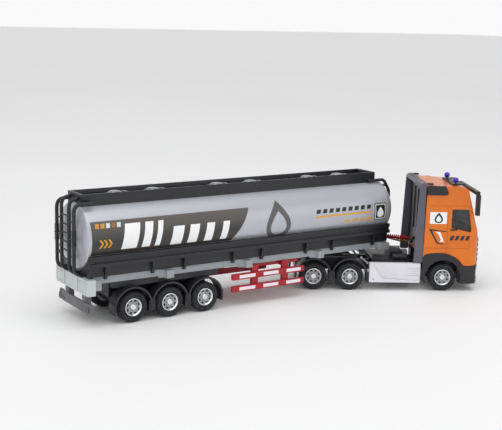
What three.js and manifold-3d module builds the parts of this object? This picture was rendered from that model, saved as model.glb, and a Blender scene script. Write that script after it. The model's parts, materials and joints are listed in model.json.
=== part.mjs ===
// A toy articulated tanker truck at about 1:50: a two-seat tractor unit and a three-axle tank
// semi-trailer, coupled by a kingpin and posed partly turned. Lengths are millimetres, +Z is up,
// +X is the trailer's heading and +Y its left-hand side.
import * as THREE from "three";
import { mergeVertices } from "three/addons/utils/BufferGeometryUtils.js";
import Module from "manifold-3d";

const wasm = await Module();
wasm.setup();

// ---------------------------------------------------------------- driving dimensions

// Clearances
const GAP = 0.2; // between pieces that are seated or stuck together
const RUNNING = 0.3; // round a turning axle and round the kingpin
const WHEEL_GAP = 0.8; // sideways, from a turning wheel to anything fixed

// Wheels and axles
const TYRE_RADIUS = 10.5;
const TYRE_WIDTH = 8;
const TYRE_SHOULDER = 0.9;
const TREAD_FACETS = 24;
const RIM_SEGMENTS = 16;
const RIM_RADIUS = 6.1;
const RIM_DISH = 1.6;
const RIM_LIP = 0.9;
const RIM_SLOPE = 0.6; // between the lip and the dish
const RIM_WEB = 1;
const HUB_RADIUS = 2.1;
const HUB_FLARE = 0.4;
const AXLE_RADIUS = 1;
const AXLE_PITCH = 27.8; // between neighbouring axles of one bogie
const BODY_WIDTH = 52;
const TYRE_INSET = 0.5; // from the body's side in to the tyres' outer faces
const AXLE_Z = TYRE_RADIUS * Math.cos(Math.PI / TREAD_FACETS); // tyres stand on a facet

// Mudguards
const FENDER_GAP = 2.5;
const FENDER_THICKNESS = 1.3;
const FENDER_WIDTH = 9.6;
const FENDER_SWEEP = 4; // degrees that an arch reaches below its axle
const FENDER_FACETS = 9;
const WHEEL_ROOM = 2; // cut clear round a tyre under its mudguard
const TRAILER_PLATE_OVERHANG = 13; // a mudguard's plate beyond the outer axles
const TRACTOR_PLATE_OVERHANG = 6;
const TRACTOR_PLATE_RISE = 0.7; // above the arches' crowns

// Trailer, along its length, from its rearmost axle
const REAR_OVERHANG = 33.6;
const TRAILER_LENGTH = 255.6;
const KINGPIN_INSET = 37.6; // behind the frame's front end
const COUPLING_TURN = 30.08; // degrees that the tractor is turned to the right

// Tank
const TANK_INSET = 1.4; // from the body's side in to the tank's widest line
const TANK_HALF_HEIGHT = 22.6;
const TANK_REAR_INSET = 3.6; // the tank's rear rim ahead of the light panel's face
const TANK_CAP_RISE = 2.6;
const TANK_RIM_ROUND = 2.2;
const TANK_FRONT_INSET = 2; // the dome's root behind the frame's front end
const TANK_DOME_RISE = 11;
const TANK_WALL = 1.5;
const CAP_SHOULDER = 0.55; // share of the tank's radius where its rear cap turns up
const CAP_SHOULDER_RISE = 0.3; // share of the cap's rise there
const DOME_FULLNESS = 0.8; // under 1 for a dome blunter than an ellipse
const OPENING_INSET = 6; // the underside's opening from either end of the barrel
const OPENING_SHARE = 0.3; // the opening's share of the tank's width

// Frame, cradle and walkway
const FRAME_OVER_FENDER = 3.9; // from the mudguards' crowns up to the frame
const FRAME_HEIGHT = 4.6;
const RAIL_WIDTH = 7;
const CROSS_MEMBERS = [-12, 42, 88, 118]; // their rear edges
const COUPLING_PLATE_REACH = 32; // behind the kingpin
const TAIL_LENGTH = 8;
const STUB_LENGTH = 4.6; // the blocks that back the ends of the light panel
const STUB_INSET = 1.5;
const STUB_HEIGHT = 6.9;
const CRADLE_FLOOR = 1.5;
const CRADLE_HEIGHT = 14.2;
const CRADLE_TAIL = 1; // behind the tank's rear rim
const CRADLE_OVERHANG = 1; // its skirt outside the frame
const LEDGE_INSET = 0.3;
const LEDGE_LIP = 0.4; // the upper ridge inside the lower one
const GROOVE_DEPTH = 1.3;
const RIDGE_HEIGHT = 2.5;
const GROOVE_HEIGHT = 2.2;
const GUSSET_THICKNESS = 2;
const GUSSET_FOOT = 1.8; // down over the frame's side
const GUSSET_SHOULDER = 2.6;
const FIRST_GUSSET = 10.5; // ahead of the cradle's rear end
const GUSSET_OFFSET = 12.2; // between an outrigger's middle and the gussets on either side
const OUTRIGGER_LENGTH = 5.3;
const OUTRIGGER_REACH = 4.4; // out from the frame's rail to the body's side
const OUTRIGGER_DROP = 1.2; // below the frame
const OUTRIGGER_SET_DOWN = 0.6; // below the frame's top
const OUTRIGGER_PITCH = 63.9;
const OUTRIGGER_ROOT = 1; // its depth in the rail
const WALKWAY_WIDTH = 20.6;
const WALKWAY_RISE = 5.9; // its rim above the tank's crown
const WALKWAY_WALL = 1.2;
const WALKWAY_DEPTH = 4.2;
const WALKWAY_FRONT_INSET = 5;
const WALKWAY_SEAT = 1.2; // its walls below the tank's surface
const HOOP_INSET = 0.3; // the guard pipes' depth in the walkway's side
const HOOP_LIFT = 0.8; // their clearance over the tank
const HOOP_ROOT = 8; // their length beside the walkway
const HOOP_NOSE_GAP = 0.4; // ahead of the dome
const HOOP_DROPS = [9, 14]; // the levels of the pipes' last points, below their tops
const HOOP_BEND = 2.4;
const HATCH_PAIR_PITCH = 80.2;
const HATCH_PITCH = 28.8; // between the two hatches of a pair
const HATCH_RADIUS = 6;
const HATCH_RISE = 3.6;

// Pipework
const PIPE_RADIUS = 1.25;
const RUNG_RADIUS = 0.6;
const CAGE_STANDOFF = 3.9; // from the rear light panel back to the pipes' centres
const CAGE_OUTER = 13.6;
const CAGE_INNER = 6;
const CAGE_OUTER_DROP = 5.4; // the pipes' tops below the walkway's rim
const CAGE_INNER_DROP = 3;
const CAGE_BEND = 6;
const LADDER_RUNGS = 6;
const SIDE_RUNGS = 3;

// Rear end
const PANEL_DEPTH = 5.8;
const PANEL_HEIGHT = 10.5;
const PANEL_DROP = 0.8; // its top below the frame's
const PANEL_CHAMFER = 1.2;
const PANEL_GROOVE = 0.6;
const PANEL_BAY = 9.6; // from the centreline to a groove
const UNDERRUN_BOTTOM = 8.8;
const UNDERRUN_HEIGHT = 7;
const UNDERRUN_INSET = 2.1; // ahead of the panel's face
const UNDERRUN_THICKNESS = 1.4;
const UNDERRUN_WAVE = 1.3; // depth of the zigzag at its ends
const UNDERRUN_FOLD = 2; // width of one fold
const STRAP = { inner: 11, outer: 16, length: 4.4, lap: 4 };

// Side guards
const GUARD_CLEARANCE = 7.6; // ahead of the bogie's last mudguard
const GUARD_LENGTH = 63;
const GUARD_BAR_HEIGHT = 4.4;
const GUARD_BAR_BOTTOMS = [10.4, 19.2];
const GUARD_BAR_THICKNESS = 1.8;
const GUARD_INSET = 0.5;
const GUARD_POST_OFFSETS = [17.4, 43.9]; // ahead of the guards' rear ends
const GUARD_POST_LENGTH = 5.6;
const GUARD_POST_THICKNESS = 2.2;
const GUARD_POST_FOOT = 0.8;
const CARRIER_DEPTH = 3.4;
const SPINE_DEPTH = 2.8;
const SPINE_INSET = 6; // from the body's side in to the carrier's plate

// Tractor, along its length, from its rear drive axle
const FIFTH_WHEEL_T = 15.9;
const STEER_T = 99.2;
const ARCH_REAR_WALL = 2.4; // of the arch liner, behind the steered wheel's room
const ARCH_FRONT_WALL = 2.5;
const CAB_FRONT_OVERHANG = 26.8; // ahead of the steered axle
const CAB_INSET = 0.5; // from the body's side
const CAB_HEIGHT = 52.4; // above the wheel arches
const ROOF_FALL = 2; // from the cab's back to its front
const CAB_HEEL = 0.9; // forward lean of the cab's back
const CAB_BROW = 11; // from the nose back to the roof's front edge
const CAB_WALL = 1.4;
const GLASS_THICKNESS = 1;
const GRILLE_SLATS = 5;
const WINDOW_SILL = 18.4; // above the wheel arches
const WINDOW_HEIGHT = 15.7;
const ARCH_BAND = 6; // black band over the steered wheels
const CHASSIS_RAIL = 3.5;
const CHASSIS_HALF_WIDTH = 9.5;
const CHASSIS_BOTTOM = 12.5;
const CHASSIS_HEIGHT = 8;
const CHASSIS_REAR = 12.5; // behind the rear drive axle
const CHASSIS_NOSE_INSET = 8; // behind the cab's nose
const CHASSIS_MEMBER = 4;
const BEARING = 8; // length of an axle's bearing block
const BEARING_DROP = 3; // below the axle
const PEDESTAL = 16;
const DECK_REACH = 37; // from the cab's back to the deck's rear edge
const DECK_FRONT_GAP = 9;
const DECK_INSET = 7; // from the body's side
const DECK_THICKNESS = 1.3;
const SKIRT_BOTTOM = 6.3;
const SKIRT_HEIGHT = 15.1;
const SKIRT_THICKNESS = 3.6;
const SKIRT_REAR_GAP = 0.5;
const SKIRT_FRONT_GAP = 1.4;
const SKIRT_BRACKET_INSET = 8;
const FAIRING_LENGTH = 7;
const FAIRING_THICKNESS = 1.5;
const FAIRING_OVER_SKIRT = 0.5;
const FAIRING_RISE = 2; // above the cab's roof
const LIGHT_BAR_HALF = 17;
const LIGHT_BAR_THICKNESS = 1;
const LIGHT_BAR_REACH = 3; // to the front and to the rear of the beacons
const LIGHT_BAR_FOOT = 7; // ahead of the beacons
const LIGHT_BAR_FOOT_WIDTH = 1.6;
const BEACON_RADIUS = 2.2;
const BEACON_SPREAD = 13.5;
const BEACON_OFFSET = 8.8; // ahead of the steered axle
const KINGPIN_RADIUS = 2;
const KINGPIN_LENGTH = 4.5;
const FIFTH_WHEEL_THICKNESS = 2.6;
const FIFTH_WHEEL = { tail: 14, head: 13, shoulder: 6, tailHalf: 11, half: 13, headHalf: 8 };
const THROAT = { neck: 7, mouth: 15, mouthHalf: 5 };
const PIN_WELL = 1; // clear round the kingpin in the chassis

// Coiled air lines, each with its ends' places on the trailer's front and the cab's back
const HOSE_RADIUS = 1.75;
const SOCKET_RADIUS = 1.3;
const SOCKET_LENGTH = 1.6;
const SOCKET_RISE = 0.2; // over the cradle's foot
const AIR_LINES = [
  { name: "air_line_red", trailerY: -12, cabY: 4, cabRise: 5.6, colour: 0x9c0a12 },
  { name: "air_line_yellow", trailerY: 12, cabY: 9.5, cabRise: 1.9, colour: 0x6f6a10 },
];

// ---------------------------------------------------------------- derived levels and stations

const outerHalf = BODY_WIDTH / 2;
const wheelCentre = outerHalf - TYRE_INSET - TYRE_WIDTH / 2;
const fenderOuter = TYRE_RADIUS + FENDER_GAP + FENDER_THICKNESS;
const frameHalf = outerHalf - OUTRIGGER_REACH;
const frameBottom = AXLE_Z + fenderOuter + FRAME_OVER_FENDER;
const frameTop = frameBottom + FRAME_HEIGHT;
const trailerRear = -REAR_OVERHANG;
const trailerFront = TRAILER_LENGTH - REAR_OVERHANG;
const kingpinX = trailerFront - KINGPIN_INSET;
const plateReach = frameHalf - OUTRIGGER_ROOT - GAP;
const panelBottom = frameTop - PANEL_DROP - PANEL_HEIGHT;
const frameRear = trailerRear + PANEL_DEPTH + GAP;
const cradleHalf = frameHalf + CRADLE_OVERHANG;
const ledgeHalf = outerHalf - LEDGE_INSET;
const cradleBottom = frameTop + GAP;
const cradleTop = cradleBottom + CRADLE_HEIGHT;
const tankHalf = outerHalf - TANK_INSET;
const tankRear = trailerRear + TANK_REAR_INSET;
const tankFront = trailerFront - TANK_FRONT_INSET;
const cradleRear = tankRear - CRADLE_TAIL;
const tankCentreZ = cradleBottom + CRADLE_FLOOR + GAP + TANK_HALF_HEIGHT;
const walkwayTop = tankCentreZ + TANK_HALF_HEIGHT + WALKWAY_RISE;
const walkwayFront = trailerFront - WALKWAY_FRONT_INSET;
const walkwayMiddle = (cradleRear + walkwayFront) / 2;
const trailerAxles = [0, AXLE_PITCH, 2 * AXLE_PITCH];
const guardRear = trailerAxles[2] + fenderOuter + GUARD_CLEARANCE;
const guardFront = guardRear + GUARD_LENGTH;
const guardPosts = GUARD_POST_OFFSETS.map((x) => guardRear + x);
const socketZ = cradleBottom + SOCKET_RADIUS + SOCKET_RISE;

const driveAxles = [0, AXLE_PITCH];
const steerRoom = TYRE_RADIUS + FENDER_GAP + WHEEL_GAP;
const archTop = AXLE_Z + TYRE_RADIUS + FENDER_GAP + ARCH_BAND;
const cabRear = STEER_T - steerRoom - ARCH_REAR_WALL;
const archFront = STEER_T + steerRoom + ARCH_FRONT_WALL;
const cabNose = STEER_T + CAB_FRONT_OVERHANG;
const cabHalf = outerHalf - CAB_INSET;
const cabRoof = archTop + CAB_HEIGHT;
const browT = cabNose - CAB_BROW;
const windowBottom = archTop + WINDOW_SILL;
const windowTop = windowBottom + WINDOW_HEIGHT;
const fairingBottom = SKIRT_BOTTOM + SKIRT_HEIGHT + FAIRING_OVER_SKIRT;
const fairingTop = cabRoof + FAIRING_RISE;
const chassisTop = CHASSIS_BOTTOM + CHASSIS_HEIGHT;
const fifthWheelTop = frameBottom - RUNNING;
const skirtRear = AXLE_PITCH + fenderOuter + SKIRT_REAR_GAP;
const skirtFront = cabRear - SKIRT_FRONT_GAP;
const beaconT = STEER_T + BEACON_OFFSET;
const barSlope = ROOF_FALL / (browT - cabRear - CAB_HEEL);
const lightBarBottom = cabRoof - barSlope * (beaconT - LIGHT_BAR_REACH - cabRear - CAB_HEEL) + GAP;
const lightBarTop = lightBarBottom + LIGHT_BAR_THICKNESS;

// ---------------------------------------------------------------- finishes

const paint = (color, roughness, metalness = 0) =>
  new THREE.MeshStandardMaterial({ color, roughness, metalness });

const BLACK_PLASTIC = paint(0x26272c, 0.55);
const RUBBER = paint(0x1d1e20, 0.85);
const CHROME = paint(0xdfe3e6, 0.15, 1);
const STEEL = paint(0x9a9da0, 0.35, 1);
const SILVER = paint(0xc5c6cd, 0.35, 0.5);
const FRAME_GREY = paint(0x989ca2, 0.5);
const PANEL_GREY = paint(0xd7dcdc, 0.5);
const BAR_GREY = paint(0x7d7d7d, 0.5);
const GUARD_RED = paint(0xb01420, 0.45);
const CAB_ORANGE = paint(0xe17d00, 0.35);
const FAIRING_GREY = paint(0x6a6871, 0.45);
const SKIRT_WHITE = paint(0xe4e4e8, 0.4);
const GLAZING = paint(0x2a3035, 0.05);
const LENS = paint(0xe8ecef, 0.1);
const BEACON_BLUE = paint(0x3a10a8, 0.1);

// ---------------------------------------------------------------- shape helpers

const X = new THREE.Vector3(1, 0, 0);
const Y = new THREE.Vector3(0, 1, 0);
const Z = new THREE.Vector3(0, 0, 1);
const OUTLINE_YZ = new THREE.Matrix4().makeBasis(Y, Z, X);
const OUTLINE_XZ = new THREE.Matrix4().makeBasis(X, Z, Y.clone().negate());
const ARC_STEPS = 4;

const at = (x, y, z) => new THREE.Vector3(x, y, z);

function solidOf(geometry) {
  const bare = geometry.clone();
  bare.deleteAttribute("normal");
  bare.deleteAttribute("uv");
  const merged = mergeVertices(bare);
  return new wasm.Manifold(
    new wasm.Mesh({
      numProp: 3,
      vertProperties: merged.getAttribute("position").array,
      triVerts: new Uint32Array(merged.index.array),
    }),
  );
}

function geometryOf(solid) {
  const { vertProperties, triVerts } = solid.getMesh();
  return new THREE.BufferGeometry()
    .setAttribute("position", new THREE.BufferAttribute(vertProperties, 3))
    .setIndex(new THREE.BufferAttribute(triVerts, 1));
}

const join = (...pieces) => geometryOf(pieces.map(solidOf).reduce((a, b) => a.add(b)));

const both = (a, b) => geometryOf(solidOf(a).intersect(solidOf(b)));

const cut = (base, ...tools) =>
  geometryOf(tools.map(solidOf).reduce((a, b) => a.subtract(b), solidOf(base)));

function block([x0, x1], [y0, y1], [z0, z1]) {
  return new THREE.BoxGeometry(x1 - x0, y1 - y0, z1 - z0).translate(
    (x0 + x1) / 2,
    (y0 + y1) / 2,
    (z0 + z1) / 2,
  );
}

// A closed outline through the given corners, each rounded by up to the given radius.
function outline(corners, radius = 0) {
  const points = corners.map(([a, b]) => new THREE.Vector2(a, b));
  const shape = new THREE.Shape();
  points.forEach((corner, i) => {
    const before = points[(i + points.length - 1) % points.length];
    const after = points[(i + 1) % points.length];
    const room = Math.min(corner.distanceTo(before), corner.distanceTo(after)) / 2;
    const inset = Math.min(radius, room * 0.98);
    const enter = corner.clone().lerp(before, inset / corner.distanceTo(before));
    const leave = corner.clone().lerp(after, inset / corner.distanceTo(after));
    if (i === 0) shape.moveTo(enter.x, enter.y);
    else shape.lineTo(enter.x, enter.y);
    if (inset > 0) shape.quadraticCurveTo(corner.x, corner.y, leave.x, leave.y);
  });
  shape.closePath();
  return shape;
}

const extrude = (shape, depth, curveSegments = ARC_STEPS) =>
  new THREE.ExtrudeGeometry(shape, { depth, bevelEnabled: false, curveSegments });

// An outline in the Y-Z plane, drawn out along X.
const alongX = (shape, [x0, x1], steps) =>
  extrude(shape, x1 - x0, steps).applyMatrix4(OUTLINE_YZ).translate(x0, 0, 0);

// An outline in the X-Z plane, drawn out along Y.
const acrossY = (shape, [y0, y1], steps) =>
  extrude(shape, y1 - y0, steps).applyMatrix4(OUTLINE_XZ).translate(0, y1, 0);

// An outline in the X-Y plane, drawn out along Z.
const upZ = (shape, [z0, z1], steps) => extrude(shape, z1 - z0, steps).translate(0, 0, z0);

const rod = (radius, length, sides = 12) => new THREE.CylinderGeometry(radius, radius, length, sides);

// A round bar from one point to another.
function bar(from, to, radius, sides = 8) {
  const turn = new THREE.Quaternion().setFromUnitVectors(Y, to.clone().sub(from).normalize());
  const middle = from.clone().lerp(to, 0.5);
  return rod(radius, from.distanceTo(to), sides)
    .applyQuaternion(turn)
    .translate(middle.x, middle.y, middle.z);
}

// A path sampled only at its own points, so that its straight stretches cost one step each.
class BentPath extends THREE.Curve {
  constructor(points) {
    super();
    this.points = points;
  }

  getPoint(u) {
    const place = Math.min(u, 1) * (this.points.length - 1);
    const i = Math.min(Math.floor(place), this.points.length - 2);
    return this.points[i].clone().lerp(this.points[i + 1], place - i);
  }

  getPointAt(u) {
    return this.getPoint(u);
  }

  getTangentAt(u) {
    const i = Math.round(u * (this.points.length - 1));
    const before = this.points[Math.max(i - 1, 0)];
    const after = this.points[Math.min(i + 1, this.points.length - 1)];
    return after.clone().sub(before).normalize();
  }
}

// A round pipe through the given points, rounded at its corners from the bend length before them.
function pipe(points, radius, bend, sides = 8) {
  const last = points[points.length - 1];
  const path = [points[0]];
  points.slice(1, -1).forEach((corner, i) => {
    const enter = corner.clone().lerp(points[i], bend / corner.distanceTo(points[i]));
    const leave = corner.clone().lerp(points[i + 2], bend / corner.distanceTo(points[i + 2]));
    path.push(...new THREE.QuadraticBezierCurve3(enter, corner, leave).getPoints(3));
  });
  path.push(last);
  const section = new THREE.Shape().absarc(0, 0, radius, 0, 2 * Math.PI);
  return new THREE.ExtrudeGeometry(section, {
    steps: path.length - 1,
    curveSegments: sides / 2,
    extrudePath: new BentPath(path),
  });
}

// An arched strip over a wheel centred at the given x and z.
function archShape(centreX, centreZ, inner, outer) {
  const sweep = THREE.MathUtils.degToRad(FENDER_SWEEP);
  const from = -sweep;
  const to = Math.PI + sweep;
  const shape = new THREE.Shape();
  shape.absarc(centreX, centreZ, outer, from, to, false);
  shape.absarc(centreX, centreZ, inner, to, from, true);
  shape.closePath();
  return shape;
}

function place(group, name, geometry, material) {
  const mesh = new THREE.Mesh(geometry, material);
  mesh.name = name;
  group.add(mesh);
  return mesh;
}

const SIDES = [
  { name: "left", sign: 1 },
  { name: "right", sign: -1 },
];

// A span of Y measured outwards from the centreline, on the side with the given sign.
const span = (sign, inner, outer) => (sign > 0 ? [inner, outer] : [-outer, -inner]);

// ---------------------------------------------------------------- wheels and axles

// The tyre is a ring about Y, its outer face towards +Y.
function tyreGeometry() {
  const half = TYRE_WIDTH / 2;
  const bore = RIM_RADIUS + GAP;
  const profile = [
    [bore, -half],
    [TYRE_RADIUS - TYRE_SHOULDER, -half],
    [TYRE_RADIUS, -half + TYRE_SHOULDER],
    [TYRE_RADIUS, half - TYRE_SHOULDER],
    [TYRE_RADIUS - TYRE_SHOULDER, half],
    [bore, half],
    [bore, -half],
  ];
  const points = profile.map(([r, y]) => new THREE.Vector2(r, y));
  return new THREE.LatheGeometry(points, TREAD_FACETS).rotateY(Math.PI / TREAD_FACETS);
}

// The rim is a dished disc about Y with a blind bore for the axle in its inner face.
function rimGeometry() {
  const outer = TYRE_WIDTH / 2 - GAP;
  const inner = -TYRE_WIDTH / 2 + TYRE_SHOULDER;
  const dish = outer - RIM_DISH;
  const bore = AXLE_RADIUS + GAP;
  const profile = [
    [0, dish - RIM_WEB],
    [bore, dish - RIM_WEB],
    [bore, inner],
    [RIM_RADIUS, inner],
    [RIM_RADIUS, outer],
    [RIM_RADIUS - RIM_LIP, outer],
    [RIM_RADIUS - RIM_LIP - RIM_SLOPE, dish],
    [HUB_RADIUS + HUB_FLARE, dish],
    [HUB_RADIUS, outer],
    [0, outer],
  ];
  const points = profile.map(([r, y]) => new THREE.Vector2(r, y));
  return new THREE.LatheGeometry(points, RIM_SEGMENTS);
}

const boreEnd = wheelCentre + TYRE_WIDTH / 2 - GAP - RIM_DISH - RIM_WEB;

// One axle with its two wheels: the rims are pressed on the shaft's ends, so all five turn together.
function addAxle(group, name, x) {
  const axle = new THREE.Group();
  axle.position.set(x, 0, AXLE_Z);
  place(axle, `${name}_shaft`, rod(AXLE_RADIUS, 2 * (boreEnd - GAP), 12), STEEL);
  for (const side of SIDES) {
    const wheel = new THREE.Group();
    wheel.position.y = side.sign * wheelCentre;
    if (side.sign < 0) wheel.rotation.z = Math.PI;
    place(wheel, `${name}_rim_${side.name}`, rimGeometry(), CHROME);
    place(wheel, `${name}_tyre_${side.name}`, tyreGeometry(), RUBBER);
    axle.add(wheel);
  }
  group.add(axle);
}

// A bearing hole for an axle at x, right across the vehicle.
const axleHole = (x, halfWidth) =>
  rod(AXLE_RADIUS + RUNNING, 2 * halfWidth, 16).translate(x, 0, AXLE_Z);

// A mudguard strip over each axle of a bogie, joined by the plate that fixes it to the frame.
function mudguardGeometry(side, centres, plateTop, overhang) {
  const inner = TYRE_RADIUS + FENDER_GAP;
  const width = span(side.sign, outerHalf - FENDER_WIDTH, outerHalf - GAP);
  const arches = centres.map((x) =>
    acrossY(archShape(x, AXLE_Z, inner, fenderOuter), width, FENDER_FACETS),
  );
  const plate = block(
    [centres[0] - overhang, centres[centres.length - 1] + overhang],
    span(side.sign, outerHalf - FENDER_WIDTH, plateReach),
    [AXLE_Z + fenderOuter - FENDER_THICKNESS / 2, plateTop],
  );
  const room = TYRE_RADIUS + WHEEL_ROOM;
  const wheelRoom = centres.map((x) => rod(room, BODY_WIDTH, 18).translate(x, 0, AXLE_Z));
  return cut(join(...arches, plate), ...wheelRoom);
}

// ---------------------------------------------------------------- trailer

const trailer = new THREE.Group();

// The tank's surface above its centre, at a distance y from the centreline.
const tankRise = (y) => TANK_HALF_HEIGHT * Math.sqrt(1 - (y / tankHalf) ** 2);

// The tank's form about the X axis, swollen by grow: rounded rear rim, flat cap and front dome.
function tankForm(grow, segments) {
  const a = tankHalf + grow;
  const rim = TANK_RIM_ROUND + grow;
  const dome = TANK_DOME_RISE + grow;
  const capEnd = tankRear - rim - TANK_CAP_RISE;
  const rear = [0, 0.5, 1].map((part) => {
    const angle = (part * Math.PI) / 2;
    return [a - rim + rim * Math.sin(angle), tankRear - rim * Math.cos(angle)];
  });
  const front = [0, 0.2, 0.4, 0.6, 0.8].map((part) => {
    const angle = (part * Math.PI) / 2;
    return [a * Math.cos(angle) ** DOME_FULLNESS, tankFront + dome * Math.sin(angle)];
  });
  const shoulder = [a * CAP_SHOULDER, capEnd + TANK_CAP_RISE * CAP_SHOULDER_RISE];
  const profile = [[0, capEnd], shoulder, ...rear, ...front];
  profile.push([0, tankFront + dome]);
  const points = profile.map(([r, x]) => new THREE.Vector2(r, x));
  return new THREE.LatheGeometry(points, segments)
    .rotateZ(-Math.PI / 2)
    .scale(1, 1, (TANK_HALF_HEIGHT + grow) / a)
    .translate(0, 0, tankCentreZ);
}

// The tank is a moulded shell, open along its underside where the cradle closes it.
function tankGeometry() {
  const opening = block(
    [tankRear + OPENING_INSET, tankFront - OPENING_INSET],
    [-tankHalf * OPENING_SHARE, tankHalf * OPENING_SHARE],
    [tankCentreZ - 2 * TANK_HALF_HEIGHT, tankCentreZ - TANK_HALF_HEIGHT / 2],
  );
  return cut(tankForm(0, 36), tankForm(-TANK_WALL, 18), opening);
}

// Stations of the outriggers' rear edges, counted back from the frame's front end.
const outriggers = Array.from(
  { length: Math.floor((trailerFront - frameRear - OUTRIGGER_LENGTH) / OUTRIGGER_PITCH) + 1 },
  (_, i) => trailerFront - OUTRIGGER_LENGTH - GAP - i * OUTRIGGER_PITCH,
);

// A pair of gussets flanks each outrigger, as far as the cradle reaches, with one at its rear end.
const gussets = [
  cradleRear + FIRST_GUSSET,
  ...outriggers
    .map((x) => x + (OUTRIGGER_LENGTH - GUSSET_THICKNESS) / 2)
    .flatMap((x) => [x - GUSSET_OFFSET, x + GUSSET_OFFSET])
    .filter((x) => x > cradleRear + FIRST_GUSSET + GUSSET_OFFSET / 2)
    .filter((x) => x < trailerFront - GUSSET_OFFSET / 2),
];

const hatches = [-1, 0, 1].flatMap((i) =>
  [-0.5, 0.5].map((j) => walkwayMiddle + i * HATCH_PAIR_PITCH + j * HATCH_PITCH),
);

// Ladder frame with outrigger blocks, the rubbing plate over the coupling and the kingpin.
function frameGeometry() {
  const z = [frameBottom, frameTop];
  const rails = SIDES.map(({ sign }) =>
    block([frameRear, trailerFront], span(sign, frameHalf - RAIL_WIDTH, frameHalf), z),
  );
  const crossMembers = CROSS_MEMBERS.map((x) =>
    block([x, x + OUTRIGGER_LENGTH], [-frameHalf, frameHalf], z),
  );
  const plateSpan = [kingpinX - COUPLING_PLATE_REACH, trailerFront];
  const plate = block(plateSpan, [-frameHalf, frameHalf], z);
  const tail = block([frameRear, frameRear + TAIL_LENGTH], [-frameHalf, frameHalf], z);
  const brackets = SIDES.flatMap(({ sign }) =>
    outriggers.map((x) => outriggerGeometry(sign, x)),
  );
  const stubs = SIDES.map(({ sign }) =>
    block(
      [frameRear, frameRear + STUB_LENGTH],
      span(sign, frameHalf - 2 * OUTRIGGER_ROOT, outerHalf - STUB_INSET),
      [frameTop - 2 * PANEL_DROP - STUB_HEIGHT, frameTop - 2 * PANEL_DROP],
    ),
  );
  const kingpin = rod(KINGPIN_RADIUS, KINGPIN_LENGTH + 1, 16)
    .rotateX(Math.PI / 2)
    .translate(kingpinX, 0, frameBottom - (KINGPIN_LENGTH - 1) / 2);
  return join(...rails, ...crossMembers, plate, tail, ...brackets, ...stubs, kingpin);
}

// A bracket that stands out from the rail, with a hollow curve into the rail behind it.
function outriggerGeometry(sign, x) {
  const reach = outerHalf - frameHalf;
  const shape = new THREE.Shape();
  shape.moveTo(x - reach, 0);
  shape.quadraticCurveTo(x, 0, x, reach);
  shape.lineTo(x + OUTRIGGER_LENGTH, reach);
  shape.lineTo(x + OUTRIGGER_LENGTH, -OUTRIGGER_ROOT);
  shape.lineTo(x - reach, -OUTRIGGER_ROOT);
  shape.closePath();
  const z = [frameBottom - OUTRIGGER_DROP, frameTop - OUTRIGGER_SET_DOWN];
  const flat = upZ(shape, z);
  if (sign < 0) return flat.rotateX(Math.PI).translate(0, -frameHalf, z[0] + z[1]);
  return flat.translate(0, frameHalf, 0);
}

// The black trough that the tank lies in: two ridges along its edge, a set-back skirt and gussets.
function cradleGeometry() {
  const ledgeBottom = cradleTop - 2 * RIDGE_HEIGHT - GROOVE_HEIGHT;
  const half = [
    [cradleHalf, cradleBottom],
    [cradleHalf, ledgeBottom],
    [ledgeHalf, ledgeBottom],
    [ledgeHalf, ledgeBottom + RIDGE_HEIGHT],
    [ledgeHalf - GROOVE_DEPTH, ledgeBottom + RIDGE_HEIGHT],
    [ledgeHalf - GROOVE_DEPTH, cradleTop - RIDGE_HEIGHT],
    [ledgeHalf - LEDGE_LIP, cradleTop - RIDGE_HEIGHT],
    [ledgeHalf - LEDGE_LIP, cradleTop],
  ];
  const section = outline([...half, ...half.map(([y, z]) => [-y, z]).reverse()]);
  const trough = alongX(section, [cradleRear, trailerFront]);
  const webs = SIDES.flatMap(({ sign }) =>
    gussets.map((x) => {
      const root = 0.5; // its depth in the skirt and the ledge
      const tip = ledgeHalf - LEDGE_LIP;
      const foot = cradleBottom - GUSSET_FOOT;
      const shape = outline([
        [sign * (cradleHalf - root), ledgeBottom + root],
        [sign * tip, ledgeBottom + root],
        [sign * tip, ledgeBottom - GUSSET_SHOULDER],
        [sign * (cradleHalf + CRADLE_OVERHANG), foot],
        [sign * (frameHalf + GAP), foot],
        [sign * (frameHalf + GAP), cradleBottom + root],
      ]);
      return alongX(shape, [x, x + GUSSET_THICKNESS]);
    }),
  );
  const sockets = AIR_LINES.map(({ trailerY }) =>
    bar(
      at(trailerFront - 1, trailerY, socketZ),
      at(trailerFront + SOCKET_LENGTH, trailerY, socketZ),
      SOCKET_RADIUS,
    ),
  );
  return join(cut(trough, tankForm(GAP, 36)), ...webs, ...sockets);
}

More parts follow.
